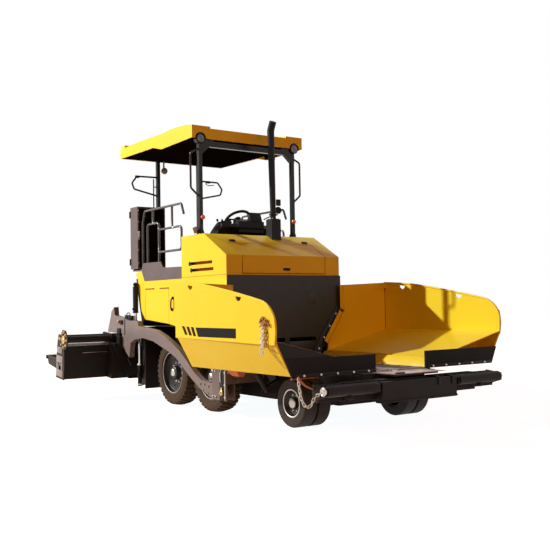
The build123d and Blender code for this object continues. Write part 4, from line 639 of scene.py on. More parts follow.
rear_lamp = lathe(
    (-2.262, -0.271, 3.556), (1, 0, 0),
    ((-0.050, 0.016), (-0.045, 0.040), (-0.010, 0.052), (0.002, 0.054), (0.006, 0.046), (0.010, 0.026)),
)
rear_lamp_arm = bar((-2.300, -2.276), (-0.281, -0.261), (3.585, 3.712), 0.002)
settle([rear_lamp, rear_lamp_arm], "rear_work_lamp", pale_plastic, "canopy_frame")
clamps = []
for side, y, z in ((-1, 0.735, 3.434), (1, 0.560, 3.437)):
    clamp = ((0.0, 0.021), (0.06, 0.021), (0.062, 0.018))
    clamps.append(lathe((REAR_POST_X, side * (y - 0.03), z), (0, side, 0), clamp, 16))
hook = bent(
    ((-2.285, 0.500, 3.425), (-2.280, 0.510, 3.385), (-2.280, 0.585, 3.376), (-2.280, 0.655, 3.392)), 0.007
)
settle([*clamps, hook], "mirror_loop_clamps", black_plastic, "canopy_frame")

# Platform: mauve grey tread plate with toe plates along its sides, and tubular handrails
# in satin black that stand on it.

grey_paint = coated(
    "mauve_grey_paint", (0.135, 0.103, 0.104), (0.105, 0.080, 0.082), 0.5, (0.36, 0.31, 0.32), wear=0.6,
    dust=(0.9, 0.25), dust_and_shade_colour=(0.27, 0.22, 0.20), shine=0.3,
)
rail_paint = coated(
    "rail_paint", (0.045, 0.040, 0.042), (0.060, 0.052, 0.054), 0.28, (0.20, 0.18, 0.18), wear=0.5,
    coat=0.2,
)
TREAD_ROWS, TREAD_COLUMNS = 13, 11
TREAD_TURN = 45
softened("platform_deck", grey_paint, 0.003)
softened("handrails", rail_paint, 0.0, 50.0)
treads = []
for row in range(TREAD_ROWS):
    for column in range(TREAD_COLUMNS):
        x, y = -1.62 + row * 0.085, -0.80 + column * 0.16
        turned = TREAD_TURN if (row + column) % 2 else -TREAD_TURN
        treads.append(bar((x, x + 0.040), (y, y + 0.008), (1.7565, 1.7605), 0.001, (0, 0, turned)))
settle(treads, "platform_treads", grey_paint, "platform_deck")
rail_feet = [
    lathe((x, side * 0.876, 1.7585), (0, 0, 1), ((0.0, 0.036), (0.006, 0.036), (0.010, 0.022)), 20)
    for x in (-1.67, -1.30) for side, label in SIDES
]
settle(rail_feet, "handrail_feet", rail_paint, "handrails")

# Console across the platform: black moulded housing with a rubber rimmed wheel, an
# instrument pod, a tilted side panel with levers and a small round mirror on a stalk.

STEER_MIDDLE = Vector((-0.690, 0.100, 2.640))
STEER_TURN = Matrix.Rotation(math.radians(-35.0), 3, "Y")
STEER_RADIUS = 0.192
STEER_POINTS = 16

softened("console", black_plastic, 0.006)
boss = lathe(
    STEER_MIDDLE, STEER_TURN @ Vector((0, 0, 1)),
    ((-0.030, 0.030), (0.004, 0.055), (0.016, 0.052), (0.022, 0.036), (0.022, 0.010)), 28,
)
angles = [step * math.pi / (STEER_POINTS / 2) for step in range(STEER_POINTS)]
rim_points = [
    STEER_MIDDLE + STEER_TURN @ Vector((STEER_RADIUS * math.cos(a), STEER_RADIUS * math.sin(a), 0.0))
    for a in angles
]
grip_rim = bent(rim_points, 0.021, True)
settle([boss, grip_rim], "steering_wheel_grip", black_plastic, "console", 60.0)
side_panel = bar((-0.66, -0.40), (-0.345, -0.060), (2.455, 2.515), 0.012, (0, -18, 0))
side_wedge = bar((-0.60, -0.46), (-0.370, -0.130), (2.505, 2.570), 0.016, (14, -26, 0))
screen = bar((-0.560, -0.500), (0.190, 0.400), (2.590, 2.735), 0.010, (0, -22, 0))
levers = []
for y in (-0.28, -0.20, -0.12):
    foot, knob = (-0.60, y, 2.50), ((0.095, 0.008), (0.105, 0.016), (0.125, 0.017), (0.135, 0.008))
    levers.append(lathe(foot, (-0.3, 0, 1), ((0.0, 0.012), (0.02, 0.006), (0.10, 0.006)), 12))
    levers.append(lathe(foot, (-0.3, 0, 1), knob, 16))
settle([side_panel, side_wedge, screen, *levers], "console_panels", black_plastic, "console")
arm = bent(((-0.50, 0.44, 2.64), (-0.52, 0.55, 2.69), (-0.56, 0.70, 2.72), (-0.57, 0.745, 2.735)), 0.009)
mirror = lathe(
    (-0.57, 0.750, 2.800), (1, -0.3, 0), ((-0.012, 0.030), (-0.006, 0.050), (0.004, 0.055), (0.006, 0.048))
)
settle([arm, mirror], "console_mirror", black_plastic, "console")
dial_rings = ((0.0, 0.024), (0.034, 0.024), (0.036, 0.020), (0.034, 0.018))
dials = [lathe((-0.555, y, 2.675), (-1, 0, 0.4), dial_rings, 20) for y in (0.235, 0.300, 0.360)]
settle(dials, "console_dials", zinc_steel, "console")

# Seats: two pans on pedestals. Each cushion is foam under black vinyl, crowned, with sides
# that pull in, swelled from a slightly smaller shape.

SEAT_MIDDLES = (-0.06, 0.54)
SEAT_REAR_X = -1.660
SEAT_TOP_Z = 2.100
BACK_TOP_Z = 2.444
CUSHION_HALF = 0.200
CUSHION_CAP = 0.024
CUSHION_VOXEL = 0.006
SWELL_PRESSURE = 4.0
SWELL_FRAMES = 20

vinyl = coated(
    "black_vinyl", (0.010, 0.0095, 0.010), (0.015, 0.014, 0.014), 0.44, (0.03, 0.03, 0.03), wear=0.2,
    grain=900.0, bump=0.12, dust=(0.4, 0.06),
)
softened("seat_frames", black_gloss, 0.004)


def cushion(name, xs, ys, zs):
    """A foam block that swells under its cover, held where it rests."""
    piece = bar(xs, ys, zs, 0.022)
    only(piece)
    bpy.ops.object.transform_apply()
    worked(piece, "REMESH", mode="VOXEL", voxel_size=CUSHION_VOXEL)
    before = [vertex.co.copy() for vertex in piece.data.vertices]
    foam = piece.modifiers.new("foam", "CLOTH")
    foam.settings.use_pressure = True
    foam.settings.uniform_pressure_force = SWELL_PRESSURE
    foam.settings.effector_weights.gravity = 0.0
    foam.point_cache.frame_start = 1
    foam.point_cache.frame_end = SWELL_FRAMES
    for step in range(1, SWELL_FRAMES + 1):
        bpy.context.scene.frame_set(step)
    only(piece)
    bpy.ops.object.modifier_apply(modifier=foam.name)
    bpy.context.scene.frame_set(1)
    for vertex, old in zip(piece.data.vertices, before):
        move = vertex.co - old
        if move.length > CUSHION_CAP:
            vertex.co = old + move.normalized() * CUSHION_CAP
    worked(piece, "SMOOTH", iterations=4)
    settle([piece], name, vinyl, "seat_cushions", 60.0)
    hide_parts("seat_cushions")


for number, middle_y in enumerate(SEAT_MIDDLES, start=1):
    right_y, left_y = middle_y - CUSHION_HALF, middle_y + CUSHION_HALF
    cushion(
        f"seat_cushion_{number}", (SEAT_REAR_X + 0.065, -1.215), (right_y, left_y),
        (SEAT_TOP_Z + 0.020, SEAT_TOP_Z + 0.062),
    )
    cushion(
        f"back_cushion_{number}", (SEAT_REAR_X + 0.046, SEAT_REAR_X + 0.075),
        (right_y + 0.01, left_y - 0.01), (SEAT_TOP_Z + 0.125, BACK_TOP_Z - 0.022),
    )

# Gas cabinet on the rear right corner: a folded grey box for the heating bottles, its door
# on two lift-off hinges, with a latch plate and screws.

CABINET_XS = (-2.150, -1.900)
CABINET_ZS = (1.960, 2.910)

softened("gas_cabinet", grey_paint, 0.002)
softened("gas_cabinet_door", grey_paint, 0.002)
rear_x, front_x = CABINET_XS
barrels = [
    lathe((rear_x - 0.002, -0.936, z), (0, 0, 1), ((-0.05, 0.012), (0.05, 0.012), (0.052, 0.009)), 16)
    for z in (CABINET_ZS[0] + 0.11, CABINET_ZS[1] - 0.11)
]
settle(barrels, "cabinet_hinge_barrels", black_plastic, "gas_cabinet")
# Black sheets over the cabinet's front face and under its foot: painted shade on the face that lies in
# shade and beneath the box.
front_shade_panel = bar((front_x - 0.002, front_x + 0.003), (-0.905, -0.480), (1.985, 2.885), 0.0015)
foot_block = bar((-2.135, -1.93), (-0.895, -0.495), (1.9455, 1.962), 0.003)
settle([front_shade_panel, foot_block], "cabinet_front_shade_panel", liner_and_shade_black, "gas_cabinet")
latch_plate = bar((front_x + 0.001, front_x + 0.006), (-0.925, -0.895), (2.400, 2.530), 0.002)
latch_turn = lathe(
    (front_x + 0.004, -0.910, 2.465), (1, 0, 0), ((0.0, 0.012), (0.008, 0.012), (0.010, 0.009)), 16
)
settle([latch_plate, latch_turn], "cabinet_latch", zinc_steel, "gas_cabinet")
screws = [bolt((front_x + 0.003, -0.915, z), (1, 0, 0), 0.007) for z in (2.05, 2.25, 2.68, 2.85)]
settle(screws, "cabinet_screws", zinc_steel, "gas_cabinet")

# Exhaust: a matt black pipe with a turned-out top on a square muffler box, with bands round
# it, a bolted flange at its foot and a small bracket to the hood.

PIPE_NARROWING = (0.78, 0.78, 1.0)
PIPE_FOOT = (0.120, 0.178, 2.4)
BOX_TOP_Z = 2.580

pipe = softened("exhaust", black_plastic, 0.006)
pick(pipe, lambda place: place.z < BOX_TOP_Z)
bpy.ops.transform.resize(value=PIPE_NARROWING, center_override=PIPE_FOOT)
bpy.ops.object.mode_set(mode="OBJECT")
bands = [
    lathe((PIPE_FOOT[0], y, z), (0, -0.015, 1), ((-0.012, 0.0535), (0.012, 0.0535), (0.013, 0.051)), 32)
    for y, z in ((0.171, 2.640), (0.158, 3.420))
]
flange = bar((0.060, 0.180), (0.116, 0.238), (2.566, 2.578), 0.003)
bracket = bar((0.150, 0.182), (0.200, 0.268), (2.760, 2.850), 0.008)
box_bolts = [bolt((x, y, 2.578), (0, 0, 1), 0.007) for x in (0.070, 0.170) for y in (0.126, 0.228)]
settle([*bands, flange, bracket], "exhaust_bands", black_plastic, "exhaust")
settle(box_bolts, "exhaust_box_bolts", zinc_steel, "exhaust")

# Chassis: black welded side plates and belly, the engine, the hopper floor over the front
# axle, and the tow brackets. Brackets have zinc bolts, a greased pin and a scale rod.

black_paint = coated(
    "black_paint", (0.0080, 0.0066, 0.0062), (0.011, 0.0088, 0.0080), 0.46, (0.05, 0.043, 0.040), wear=0.5,
    dust=(0.7, 0.04), dust_and_shade_colour=(0.026, 0.019, 0.016), shine=0.16,
)
cast_iron = coated(
    "engine_iron", (0.035, 0.033, 0.032), (0.02, 0.02, 0.02), 0.6, (0.10, 0.10, 0.10), wear=0.3,
    grain=120.0, bump=0.12,
)
gold_zinc = coated(
    "yellow_zinc_steel", (0.62, 0.43, 0.16), (0.48, 0.31, 0.10), 0.34, (0.80, 0.66, 0.40), wear=0.4,
    dust=(0.3, 0.08), metal=0.85, bump=0.06,
)
worn_steel = coated(
    "worn_steel", (0.30, 0.265, 0.275), (0.17, 0.145, 0.148), 0.36, (0.50, 0.47, 0.46), wear=0.7,
    dust=(0.5, 0.12), metal=0.5, bump=0.08,
)
# A red standing for a yellow rib in shade: painted shade.
red_for_shaded_yellow = coated(
    "red_for_shaded_yellow", (0.50, 0.095, 0.025), (0.36, 0.06, 0.018), 0.5, (0.2, 0.06, 0.03), wear=0.4,
    dust=(0.8, 0.2), dust_and_shade_colour=(0.20, 0.10, 0.05), shine=0.25,
)
TOW_FACE_Y = 1.1185
for name in ("main_frame", "front_frame", "auger_frame"):
    softened(name, black_paint, 0.003)
softened("engine_block", cast_iron, 0.006)
softened("tow_brackets", grey_paint, 0.003)
for side, label in SIDES:
    face = side * (TOW_FACE_Y - 0.0005)
    outer = side * (TOW_FACE_Y + 0.006)
    panel = bar((0.757, 0.860), (face, outer), (0.212, 0.606), 0.0015)
    settle([panel], f"tow_bracket_panel_{label}", black_paint, "tow_brackets")
    scale_rod = lathe((0.884, outer, 0), (0, 0, 1), ((0.225, 0.007), (0.585, 0.007), (0.587, 0.004)), 12)
    clip_ys = (face, side * (TOW_FACE_Y + 0.014))
    clips = [bar((0.870, 0.898), clip_ys, (z, z + 0.018), 0.002) for z in (0.25, 0.40, 0.55)]
    pointer_points = (
        (0.800, outer, 0.590), (0.800, side * 1.140, 0.560), (0.795, side * 1.138, 0.480),
        (0.782, outer, 0.440),
    )
    pointer = bent(pointer_points, 0.006)
    settle([scale_rod, *clips, pointer], f"tow_scale_rod_{label}", zinc_steel, "tow_brackets")
    pin_rings = ((1.120, 0.034), (1.136, 0.034), (1.140, 0.028), (1.140, 0.014), (1.152, 0.012))
    pin_head = across(0.807, 0.309, side, pin_rings)
    keeper = bar((0.790, 0.824), (side * 1.126, side * 1.134), (0.335, 0.372), 0.003)
    settle([pin_head, keeper], f"tow_pin_cap_{label}", gold_zinc, "tow_brackets")
    # A plate under the wing's lower edge, painted red for a yellow rib in shade: painted shade.
    shaded_rib_plate = bar((0.850, 1.330), (side * 1.086, side * 1.096), (0.528, 0.600), 0.0)
    shift(shaded_rib_plate, lambda place: place.z < 0.56 and place.x < 1.1, (0.165, 0, 0))
    shift(shaded_rib_plate, lambda place: place.z < 0.56 and place.x > 1.1, (-0.085, 0, 0))
    settle([shaded_rib_plate], f"shaded_side_rib_{label}", red_for_shaded_yellow, "tow_brackets")
    plate_bolts = [
        bolt((x, side * TOW_FACE_Y, z), (0, side, 0), 0.010) for x in (0.585, 0.645) for z in (0.25, 0.57)
    ]
    settle(plate_bolts, f"tow_bracket_bolts_{label}", zinc_steel, "tow_brackets")

# Front wheels: twin solid rubber tyres pressed on black hubs, with a polished rim edge,
# a dished disc with nuts and a bright cap over the bearing.

FRONT_WHEEL = (2.016, 0.272)
# Sections: distance from the middle of the machine, radius
FRONT_RIM = (
    (0.944, 0.147), (0.948, 0.147), (0.951, 0.151), (0.951, 0.159), (0.947, 0.163), (0.944, 0.163),
)
FRONT_CAP = ((0.930, 0.058), (0.938, 0.057), (0.946, 0.050), (0.951, 0.034), (0.953, 0.012))
# Circles of nuts: face's distance from the middle of the machine, radius, count, size
FRONT_NUTS = (0.897, 0.093, 8, 0.009)
REAR_NUTS = (0.864, 0.136, 10, 0.012)
solid_rubber = coated(
    "solid_tyre_rubber", (0.018, 0.0135, 0.012), (0.030, 0.022, 0.018), 0.66, (0.07, 0.055, 0.045),
    wear=0.4, dust=(0.35, 0.15), dust_and_shade_colour=(0.058, 0.041, 0.032), grain=120.0, bump=0.1, shine=0.3,
)
rim_paint = coated(
    "rim_paint", (0.0095, 0.0085, 0.0085), (0.014, 0.012, 0.0115), 0.32, (0.10, 0.09, 0.09), wear=0.6,
    dust=(0.6, 0.05), dust_and_shade_colour=(0.030, 0.023, 0.019), shine=0.35,
)


def nut_circle(x, z, side, nuts, turned):
    """Nuts evenly round an axle at (x, z), the first turned on by a part of a step."""
    y, radius, count, size = nuts
    angles = [2 * math.pi * (step + turned) / count for step in range(count)]
    return [
        bolt((x + radius * math.cos(angle), side * y, z + radius * math.sin(angle)), (0, side, 0), size)
        for angle in angles
    ]


softened("front_axle", black_paint, 0.004)
for side, label in SIDES:
    softened(f"knuckle_{label}", black_paint, 0.003)
    softened(f"front_tyres_{label}", solid_rubber, 0.010, 45.0)
    softened(f"front_hub_{label}", rim_paint, 0.004)
    x, z = FRONT_WHEEL
    rim = across(x, z, side, FRONT_RIM, 48, True)
    cap = across(x, z, side, FRONT_CAP, 32)
    settle([rim, cap], f"front_rim_trim_{label}", zinc_steel, f"front_hub_{label}", 50.0)
    nuts = nut_circle(x, z, side, FRONT_NUTS, 0.5)
    settle(nuts, f"front_wheel_nuts_{label}", zinc_steel, f"front_hub_{label}")
    ridges = []
    for low_r in (0.178, 0.236):
        ridge = ((0.9555, low_r), (0.9585, low_r + 0.002), (0.9585, low_r + 0.008), (0.9555, low_r + 0.010))
        ridges.append(across(x, z, side, ridge, 64, True))
    settle(ridges, f"front_tyre_ridges_{label}", solid_rubber, f"front_tyres_{label}", 50.0)

# Rear wheels: pneumatic tyres with square block lugs on both shoulders, dusty brown, on
# deep black rims with a light flange ring, planet hubs, nuts and a bright cap.

REAR_XS = (-0.800, 0.240)
REAR_R = 0.457
LUGS = 36
TYRE_MIDDLE_Y = 0.8385
HAND_HOLES = 8
HAND_HOLE_RADIUS = 0.205
# Tyre section: distance from the middle of the machine, radius
REAR_SECTION = (
    (0.946, 0.2918), (0.953, 0.306), (0.958, 0.309), (0.959, 0.318), (0.955, 0.324), (0.959, 0.345),
    (0.960, 0.372), (0.956, 0.402), (0.944, 0.424), (0.920, 0.437), (0.838, 0.441), (0.757, 0.437),
    (0.733, 0.424), (0.721, 0.402), (0.717, 0.372), (0.720, 0.330), (0.731, 0.2918),
)
REAR_RING = (
    (0.944, 0.276), (0.947, 0.276), (0.950, 0.281), (0.950, 0.287), (0.946, 0.291), (0.944, 0.291),
)
REAR_CAP = ((0.932, 0.056), (0.940, 0.055), (0.949, 0.048), (0.955, 0.032), (0.957, 0.010))
HOLE_EDGE = ((0.866, 0.026), (0.874, 0.026), (0.876, 0.022), (0.868, 0.020))
tyre_rubber = coated(
    "dusty_tyre_rubber", (0.062, 0.041, 0.027), (0.030, 0.021, 0.015), 0.85, (0.125, 0.088, 0.060),
    wear=0.7, dust=(1.1, 0.3), dust_and_shade_colour=(0.105, 0.072, 0.048), grain=150.0, bump=0.14, shine=0.2,
)
softened("rear_bogies", black_paint, 0.004)
carcass = lathe((REAR_XS[0], 0, REAR_R), (0, -1, 0), REAR_SECTION, 72, True)
lug = bar((-0.024, 0.024), (-0.954, -0.846), (0.425, REAR_R), 0.0)
shift(lug, lambda place: place.y < -0.95, (0, 0, -0.018))
edit_all(lug)
bpy.ops.mesh.bevel(offset=0.004, segments=1, affect="EDGES")
bpy.ops.object.mode_set(mode="OBJECT")
bpy.ops.object.transform_apply()
lugs = []
for step in range(LUGS):
    for row in (0, 1):
        twin = copied(lug)
        twin.location = (REAR_XS[0], -2 * TYRE_MIDDLE_Y if row else 0.0, REAR_R)
        if row:
            twin.rotation_euler = (0, 0, math.pi)
        only(twin)
        bpy.ops.object.transform_apply(location=False)
        twin.rotation_euler = (0, 2 * math.pi * (step + 0.5 * row) / LUGS, 0)
        bpy.ops.object.transform_apply()
        lugs.append(twin)
bpy.data.objects.remove(lug)
only(carcass, *lugs)
bpy.ops.object.join()
second = copied(carcass)
second.location.x += REAR_XS[1] - REAR_XS[0]
for side, label, number, tyre in (
    (-1, "right", 1, carcass), (-1, "right", 2, second),
    (1, "left", 1, other_side(carcass)), (1, "left", 2, other_side(second)),
):
    x = REAR_XS[number - 1]
    tyre_node, rim_node = f"rear_tyre_{label}_{number}", f"rear_rim_{label}_{number}"
    settle([tyre], f"rear_tyre_with_lugs_{label}_{number}", tyre_rubber, tyre_node, 30.0)
    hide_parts(tyre_node)
    softened(rim_node, rim_paint, 0.004)
    ring = across(x, REAR_R, side, REAR_RING, 64, True)
    settle([ring], f"rear_rim_ring_{label}_{number}", worn_steel, rim_node, 50.0)
    cap = across(x, REAR_R, side, REAR_CAP, 32)
    settle([cap], f"rear_hub_cap_{label}_{number}", zinc_steel, rim_node, 50.0)
    nuts = nut_circle(x, REAR_R, side, REAR_NUTS, 0)
    settle(nuts, f"rear_wheel_nuts_{label}_{number}", zinc_steel, rim_node)
    disc_holes = []
    for step in range(HAND_HOLES):
        angle = 2 * math.pi * (step + 0.5) / HAND_HOLES
        hole_x, hole_z = x + HAND_HOLE_RADIUS * math.cos(angle), REAR_R + HAND_HOLE_RADIUS * math.sin(angle)
        disc_holes.append(across(hole_x, hole_z, side, HOLE_EDGE, 20))
    settle(disc_holes, f"rear_rim_hand_holes_{label}_{number}", rim_paint, rim_node)

# Hopper rear wall: a heat stained plate above the conveyor mouth, with rubber wiper
# strips bolted down both sloping edges.

WIPER = ((0.934, 1.288), (0.519, 0.706))
WIPER_BOLTS = ((0.856, 1.244), (0.744, 1.076), (0.648, 0.922), (0.551, 0.778))
WALL_X = 0.652
wall_steel = coated(
    "heat_stained_steel", (0.0095, 0.0062, 0.0052), (0.030, 0.0150, 0.0100), 0.42, (0.06, 0.04, 0.03),
    wear=0.3, dust=(0.9, 0.1), dust_and_shade_colour=(0.024, 0.014, 0.010), bump=0.06, shine=0.3,
)
strip_rubber = coated(
    "navy_black_rubber", (0.0085, 0.0080, 0.0115), (0.012, 0.011, 0.015), 0.5, (0.03, 0.03, 0.035),
    wear=0.3, dust=(0.5, 0.06), shine=0.3,
)
softened("hopper_rear_wall", wall_steel, 0.003)
for side, label in SIDES:
    (top_y, top_z), (low_y, low_z) = WIPER
    run = math.hypot(top_y - low_y, top_z - low_z)
    angle = math.degrees(math.atan2(top_y - low_y, top_z - low_z))
    mid_y, mid_z = (top_y + low_y) / 2 - 0.045, (top_z + low_z) / 2 + 0.03
    strip = bar(
        (WALL_X, WALL_X + 0.014), (side * mid_y - 0.055, side * mid_y + 0.055),
        (mid_z - run / 2, mid_z + run / 2), 0.003, (-side * angle, 0, 0),
    )
    clamp = bar(
        (WALL_X + 0.013, WALL_X + 0.019), (side * mid_y - 0.022, side * mid_y + 0.022),
        (mid_z - run / 2 + 0.01, mid_z + run / 2 - 0.01), 0.0015, (-side * angle, 0, 0),
    )
    settle([strip, clamp], f"hopper_wiper_{label}", strip_rubber, "hopper_rear_wall")
    heads = [bolt((WALL_X + 0.018, side * (y - 0.035), z), (1, 0, 0), 0.012) for y, z in WIPER_BOLTS]
    settle(heads, f"hopper_wiper_bolts_{label}", zinc_steel, "hopper_rear_wall")
curtains = [bar((0.640, 0.6475), (y - 0.240, y + 0.240), (0.668, 0.890), 0.001) for y in (-0.262, 0.262)]
settle(curtains, "tunnel_curtains", wall_steel, "hopper_rear_wall")
cover = ((-0.001, 0.075), (0.004, 0.075), (0.006, 0.068), (0.006, 0.02))
wall_marks = [lathe((WALL_X, y, 1.46), (1, 0, 0), cover, 40) for y in (-0.42, 0.42)]
settle(wall_marks, "hopper_wall_covers", wall_steel, "hopper_rear_wall")

# Hopper wings: yellow folded plate with ribs under the floor, three slanted black stripes and
# a bare black plate on each side, a rolled top bead, and the safety chain on the right wing.

WING_Y = 1.700
# Stripes, then the plate: top rear x, top front x, low rear x, low front x, top z, low z
STRIPES = (
    (0.870, 0.932, 0.949, 1.011, 1.146, 1.046),
    (0.979, 1.041, 1.050, 1.112, 1.142, 1.040),
    (1.088, 1.150, 1.147, 1.209, 1.138, 1.034),
    (1.197, 2.067, 1.256, 2.067, 1.134, 1.028),
)
# Rolled bead along the wing's top edge and down its front to the skirt's corner: x, y, z
WING_EDGE = (
    (0.716, 1.688, 1.670), (1.086, 1.688, 1.652), (1.439, 1.688, 1.615), (2.042, 1.688, 1.517),
    (2.500, 1.688, 1.432), (2.600, 1.688, 1.408), (2.690, 1.688, 1.355), (2.760, 1.688, 1.275),
    (2.786, 1.688, 1.200), (2.790, 1.688, 1.116), (2.782, 1.688, 1.020), (2.776, 1.680, 0.985),
    (2.772, 1.640, 0.920), (2.770, 1.500, 0.668),
)
WING_SLOPE = 34.3
WALL_EDGE_XS = (0.700, 0.7065)
stripe_black = coated(
    "stripe_black", (0.0060, 0.0056, 0.0058), (0.008, 0.0075, 0.0075), 0.6, (0.02, 0.02, 0.02), wear=0.1,
    dust=(0.8, 0.0), dust_and_shade_colour=(0.01, 0.009, 0.008), bump=0.01, shine=0.08,
)
rusty_chain = coated(
    "rusty_chain_steel", (0.48, 0.16, 0.030), (0.30, 0.085, 0.020), 0.6, (0.66, 0.42, 0.20), wear=0.6,
    metal=0.35, bump=0.12,
)
pale_chain = coated(
    "pale_chain_steel", (0.62, 0.58, 0.50), (0.48, 0.44, 0.36), 0.4, (0.8, 0.76, 0.7), wear=0.4, metal=0.6,
)


def chain(points, wire, pitch):
    """Rigid oval links set one after another along the points, each turned a quarter from the last."""
    bpy.ops.object.select_all(action="DESELECT")
    bpy.ops.mesh.primitive_torus_add(
        major_radius=pitch * 0.36, minor_radius=wire / 2, major_segments=14, minor_segments=8,
        location=(0, 0, 0),
    )
    link = bpy.context.object
    for sign in (-1, 1):
        shift(link, lambda place: place.x * sign > 0.0001, (sign * pitch * 0.25, 0, 0))
    line = [Vector(point) for point in points]
    links_made, carried = [], 0.0
    for start, end in zip(line, line[1:]):
        run = (end - start).length
        while carried < run:
            twin = copied(link)
            along = (end - start).normalized()
            turned = along.to_track_quat("X", "Z").to_matrix().to_4x4()
            roll = Matrix.Rotation(math.pi / 2 * (len(links_made) % 2) + 0.4, 4, "X")
            twin.matrix_world = Matrix.Translation(start + along * carried) @ turned @ roll
            links_made.append(twin)
            carried += pitch
        carried -= run
    bpy.data.objects.remove(link)
    return links_made


for side, label in SIDES:
    wing = f"hopper_wing_{label}"
    softened(wing, yellow_paint, 0.004)
    marks, mark_ys = [], (side * (WING_Y - 0.001), side * (WING_Y + 0.0015))
    for top_rear, top_front, low_rear, low_front, top_z, low_z in STRIPES:
        mark = bar((low_rear, low_front), mark_ys, (low_z, top_z), 0.0)
        mid_x, mid_z = (low_rear + low_front) / 2, (low_z + top_z) / 2
        shift(mark, lambda at: at.z > mid_z and at.x < mid_x, (top_rear - low_rear, 0, 0))
        shift(mark, lambda at: at.z > mid_z and at.x > low_front - 0.001, (top_front - low_front, 0, 0))
        edit_all(mark)
        bpy.ops.mesh.bevel(offset=0.0006, segments=1, affect="EDGES")
        bpy.ops.object.mode_set(mode="OBJECT")
        marks.append(mark)
    settle(marks, f"wing_stripes_{label}", stripe_black, wing)
    bead = bent([(x, side * y, z) for x, y, z in WING_EDGE], 0.0125)
    lip_ys, lip_lean = (side * 0.763 - 0.040, side * 0.763 + 0.040), (-side * WING_SLOPE, 0, 0)
    rear_lip = bar(WALL_EDGE_XS, lip_ys, (0.815, 1.345), 0.001, lip_lean)
    rear_edge = bar(WALL_EDGE_XS, (side * 0.872, side * 0.935), (1.270, 1.640), 0.001)
    spacer = bar((0.704, 0.716), (side * 0.905, side * 0.930), (1.300, 1.620), 0.001)
    settle([bead, rear_lip, rear_edge, spacer], f"wing_edges_{label}", yellow_paint, wing, 60.0)
    # A thin dark orange rod along the fold at the wing's front: painted shade in that crease.
    shade_line_points = ((2.600, 1.6690, 0.953), (2.690, 1.6490, 0.918), (2.768, 1.6295, 0.884))
    shade_line = bent([(x, side * y, z) for x, y, z in shade_line_points], 0.0028)
    settle([shade_line], f"wing_fold_shade_line_{label}", painted_shade_orange, wing, 60.0)
    # A thin bead in the wing's inner corner, painted dark red: painted shade in that corner.
    corner_shade = bar((0.719, 0.729), (side * 1.682, side * 1.692), (1.020, 1.598), 0.002)
    settle([corner_shade], f"wing_corner_shade_bead_{label}", dark_red_shade_paint, wing)
    guard = bar((0.740, 2.770), (side * 0.508, side * 0.512), (0.626, 0.756), 0.0015, (-side * 34.0, 0, 0))
    settle([guard], f"conveyor_side_guard_{label}", yellow_paint, "main_frame")

# A black strip under the right wing's front edge, on this side only: painted shade over the wing floor's
# underside.
shade_strip = bar((2.770, 2.7845), (-1.520, -0.610), (0.690, 0.720), 0.0)
shift(shade_strip, lambda place: place.z > 0.705 and place.y < -1.0, (0, -0.165, 0.292))
shift(shade_strip, lambda place: place.z > 0.705 and place.y > -1.0, (0, 0, 0.032))
settle([shade_strip], "wing_front_shade_strip", black_paint, "hopper_wing_right")
# A lip under the right wing's front edge in dark orange: painted shade, for yellow paint in shade.
lip = bar((2.752, 2.779), (-1.490, -1.150), (0.616, 0.630), 0.002)
settle([lip], "wing_front_lip", painted_shade_orange, "hopper_wing_right")
strands = chain(((2.585, -1.712, 1.185), (2.570, -1.712, 1.020), (2.556, -1.712, 0.885)), 0.009, 0.034)
strands += chain(((2.612, -1.712, 1.150), (2.600, -1.712, 0.980), (2.575, -1.712, 0.880)), 0.009, 0.034)
settle(strands, "wing_chain_pale_strands", pale_chain, "hopper_wing_right", 60.0)
rusty = chain(((2.640, -1.713, 1.190), (2.655, -1.713, 1.080), (2.640, -1.713, 0.975)), 0.010, 0.036)
looped = ((2.560, -1.715, 1.215), (2.600, -1.716, 1.255), (2.655, -1.716, 1.215), (2.700, -1.715, 1.180))
rusty += chain(looped, 0.011, 0.036)
rusty += chain(((2.570, -1.716, 1.170), (2.640, -1.718, 1.205), (2.690, -1.716, 1.235)), 0.011, 0.036)
hook_points = (
    (2.600, -1.722, 1.258), (2.562, -1.724, 1.232), (2.566, -1.724, 1.190), (2.604, -1.724, 1.170),
    (2.640, -1.724, 1.190), (2.640, -1.724, 1.226), (2.615, -1.724, 1.235),
)
stud = ((0.0, 0.012), (0.030, 0.012), (0.032, 0.016), (0.038, 0.014))
rusty += [bent(hook_points, 0.008), lathe((2.615, -1.699, 1.245), (0, -1, 0), stud, 16)]
settle(rusty, "wing_chain_rusty_strand", rusty_chain, "hopper_wing_right", 60.0)

# Wing and lift cylinders: black barrels with hard chromed rods, gland rings and hose ports.

LIFT_ROD_X = -1.93
rod_chrome = coated(
    "rod_chrome", (0.72, 0.71, 0.71), (0.60, 0.59, 0.60), 0.14, (0.8, 0.8, 0.8), wear=0.1, dust=(0.3, 0.02),
    metal=0.95, bump=0.01,
)
for side, label in SIDES:
    for use in ("wing", "lift"):
        softened(f"{use}_barrel_{label}", black_paint, 0.003, 50.0)
        softened(f"{use}_rod_{label}", rod_chrome, 0.0015, 50.0)
    gland = lathe(
        (LIFT_ROD_X, side * 0.962, 1.290), (0, 0, 1),
        ((0.0, 0.036), (0.004, 0.044), (0.022, 0.044), (0.024, 0.040)),
    )
    port = lathe(
        (LIFT_ROD_X, side * 0.990, 1.350), (0, side, 0), ((0.0, 0.016), (0.022, 0.016), (0.026, 0.010)), 12
    )
    settle([gland, port], f"lift_gland_{label}", black_plastic, f"lift_barrel_{label}", 50.0)

# Rubber flaps across the hopper mouth: thick belting held to the wing by a clamp bar with
# bright bolts along its lower edge.

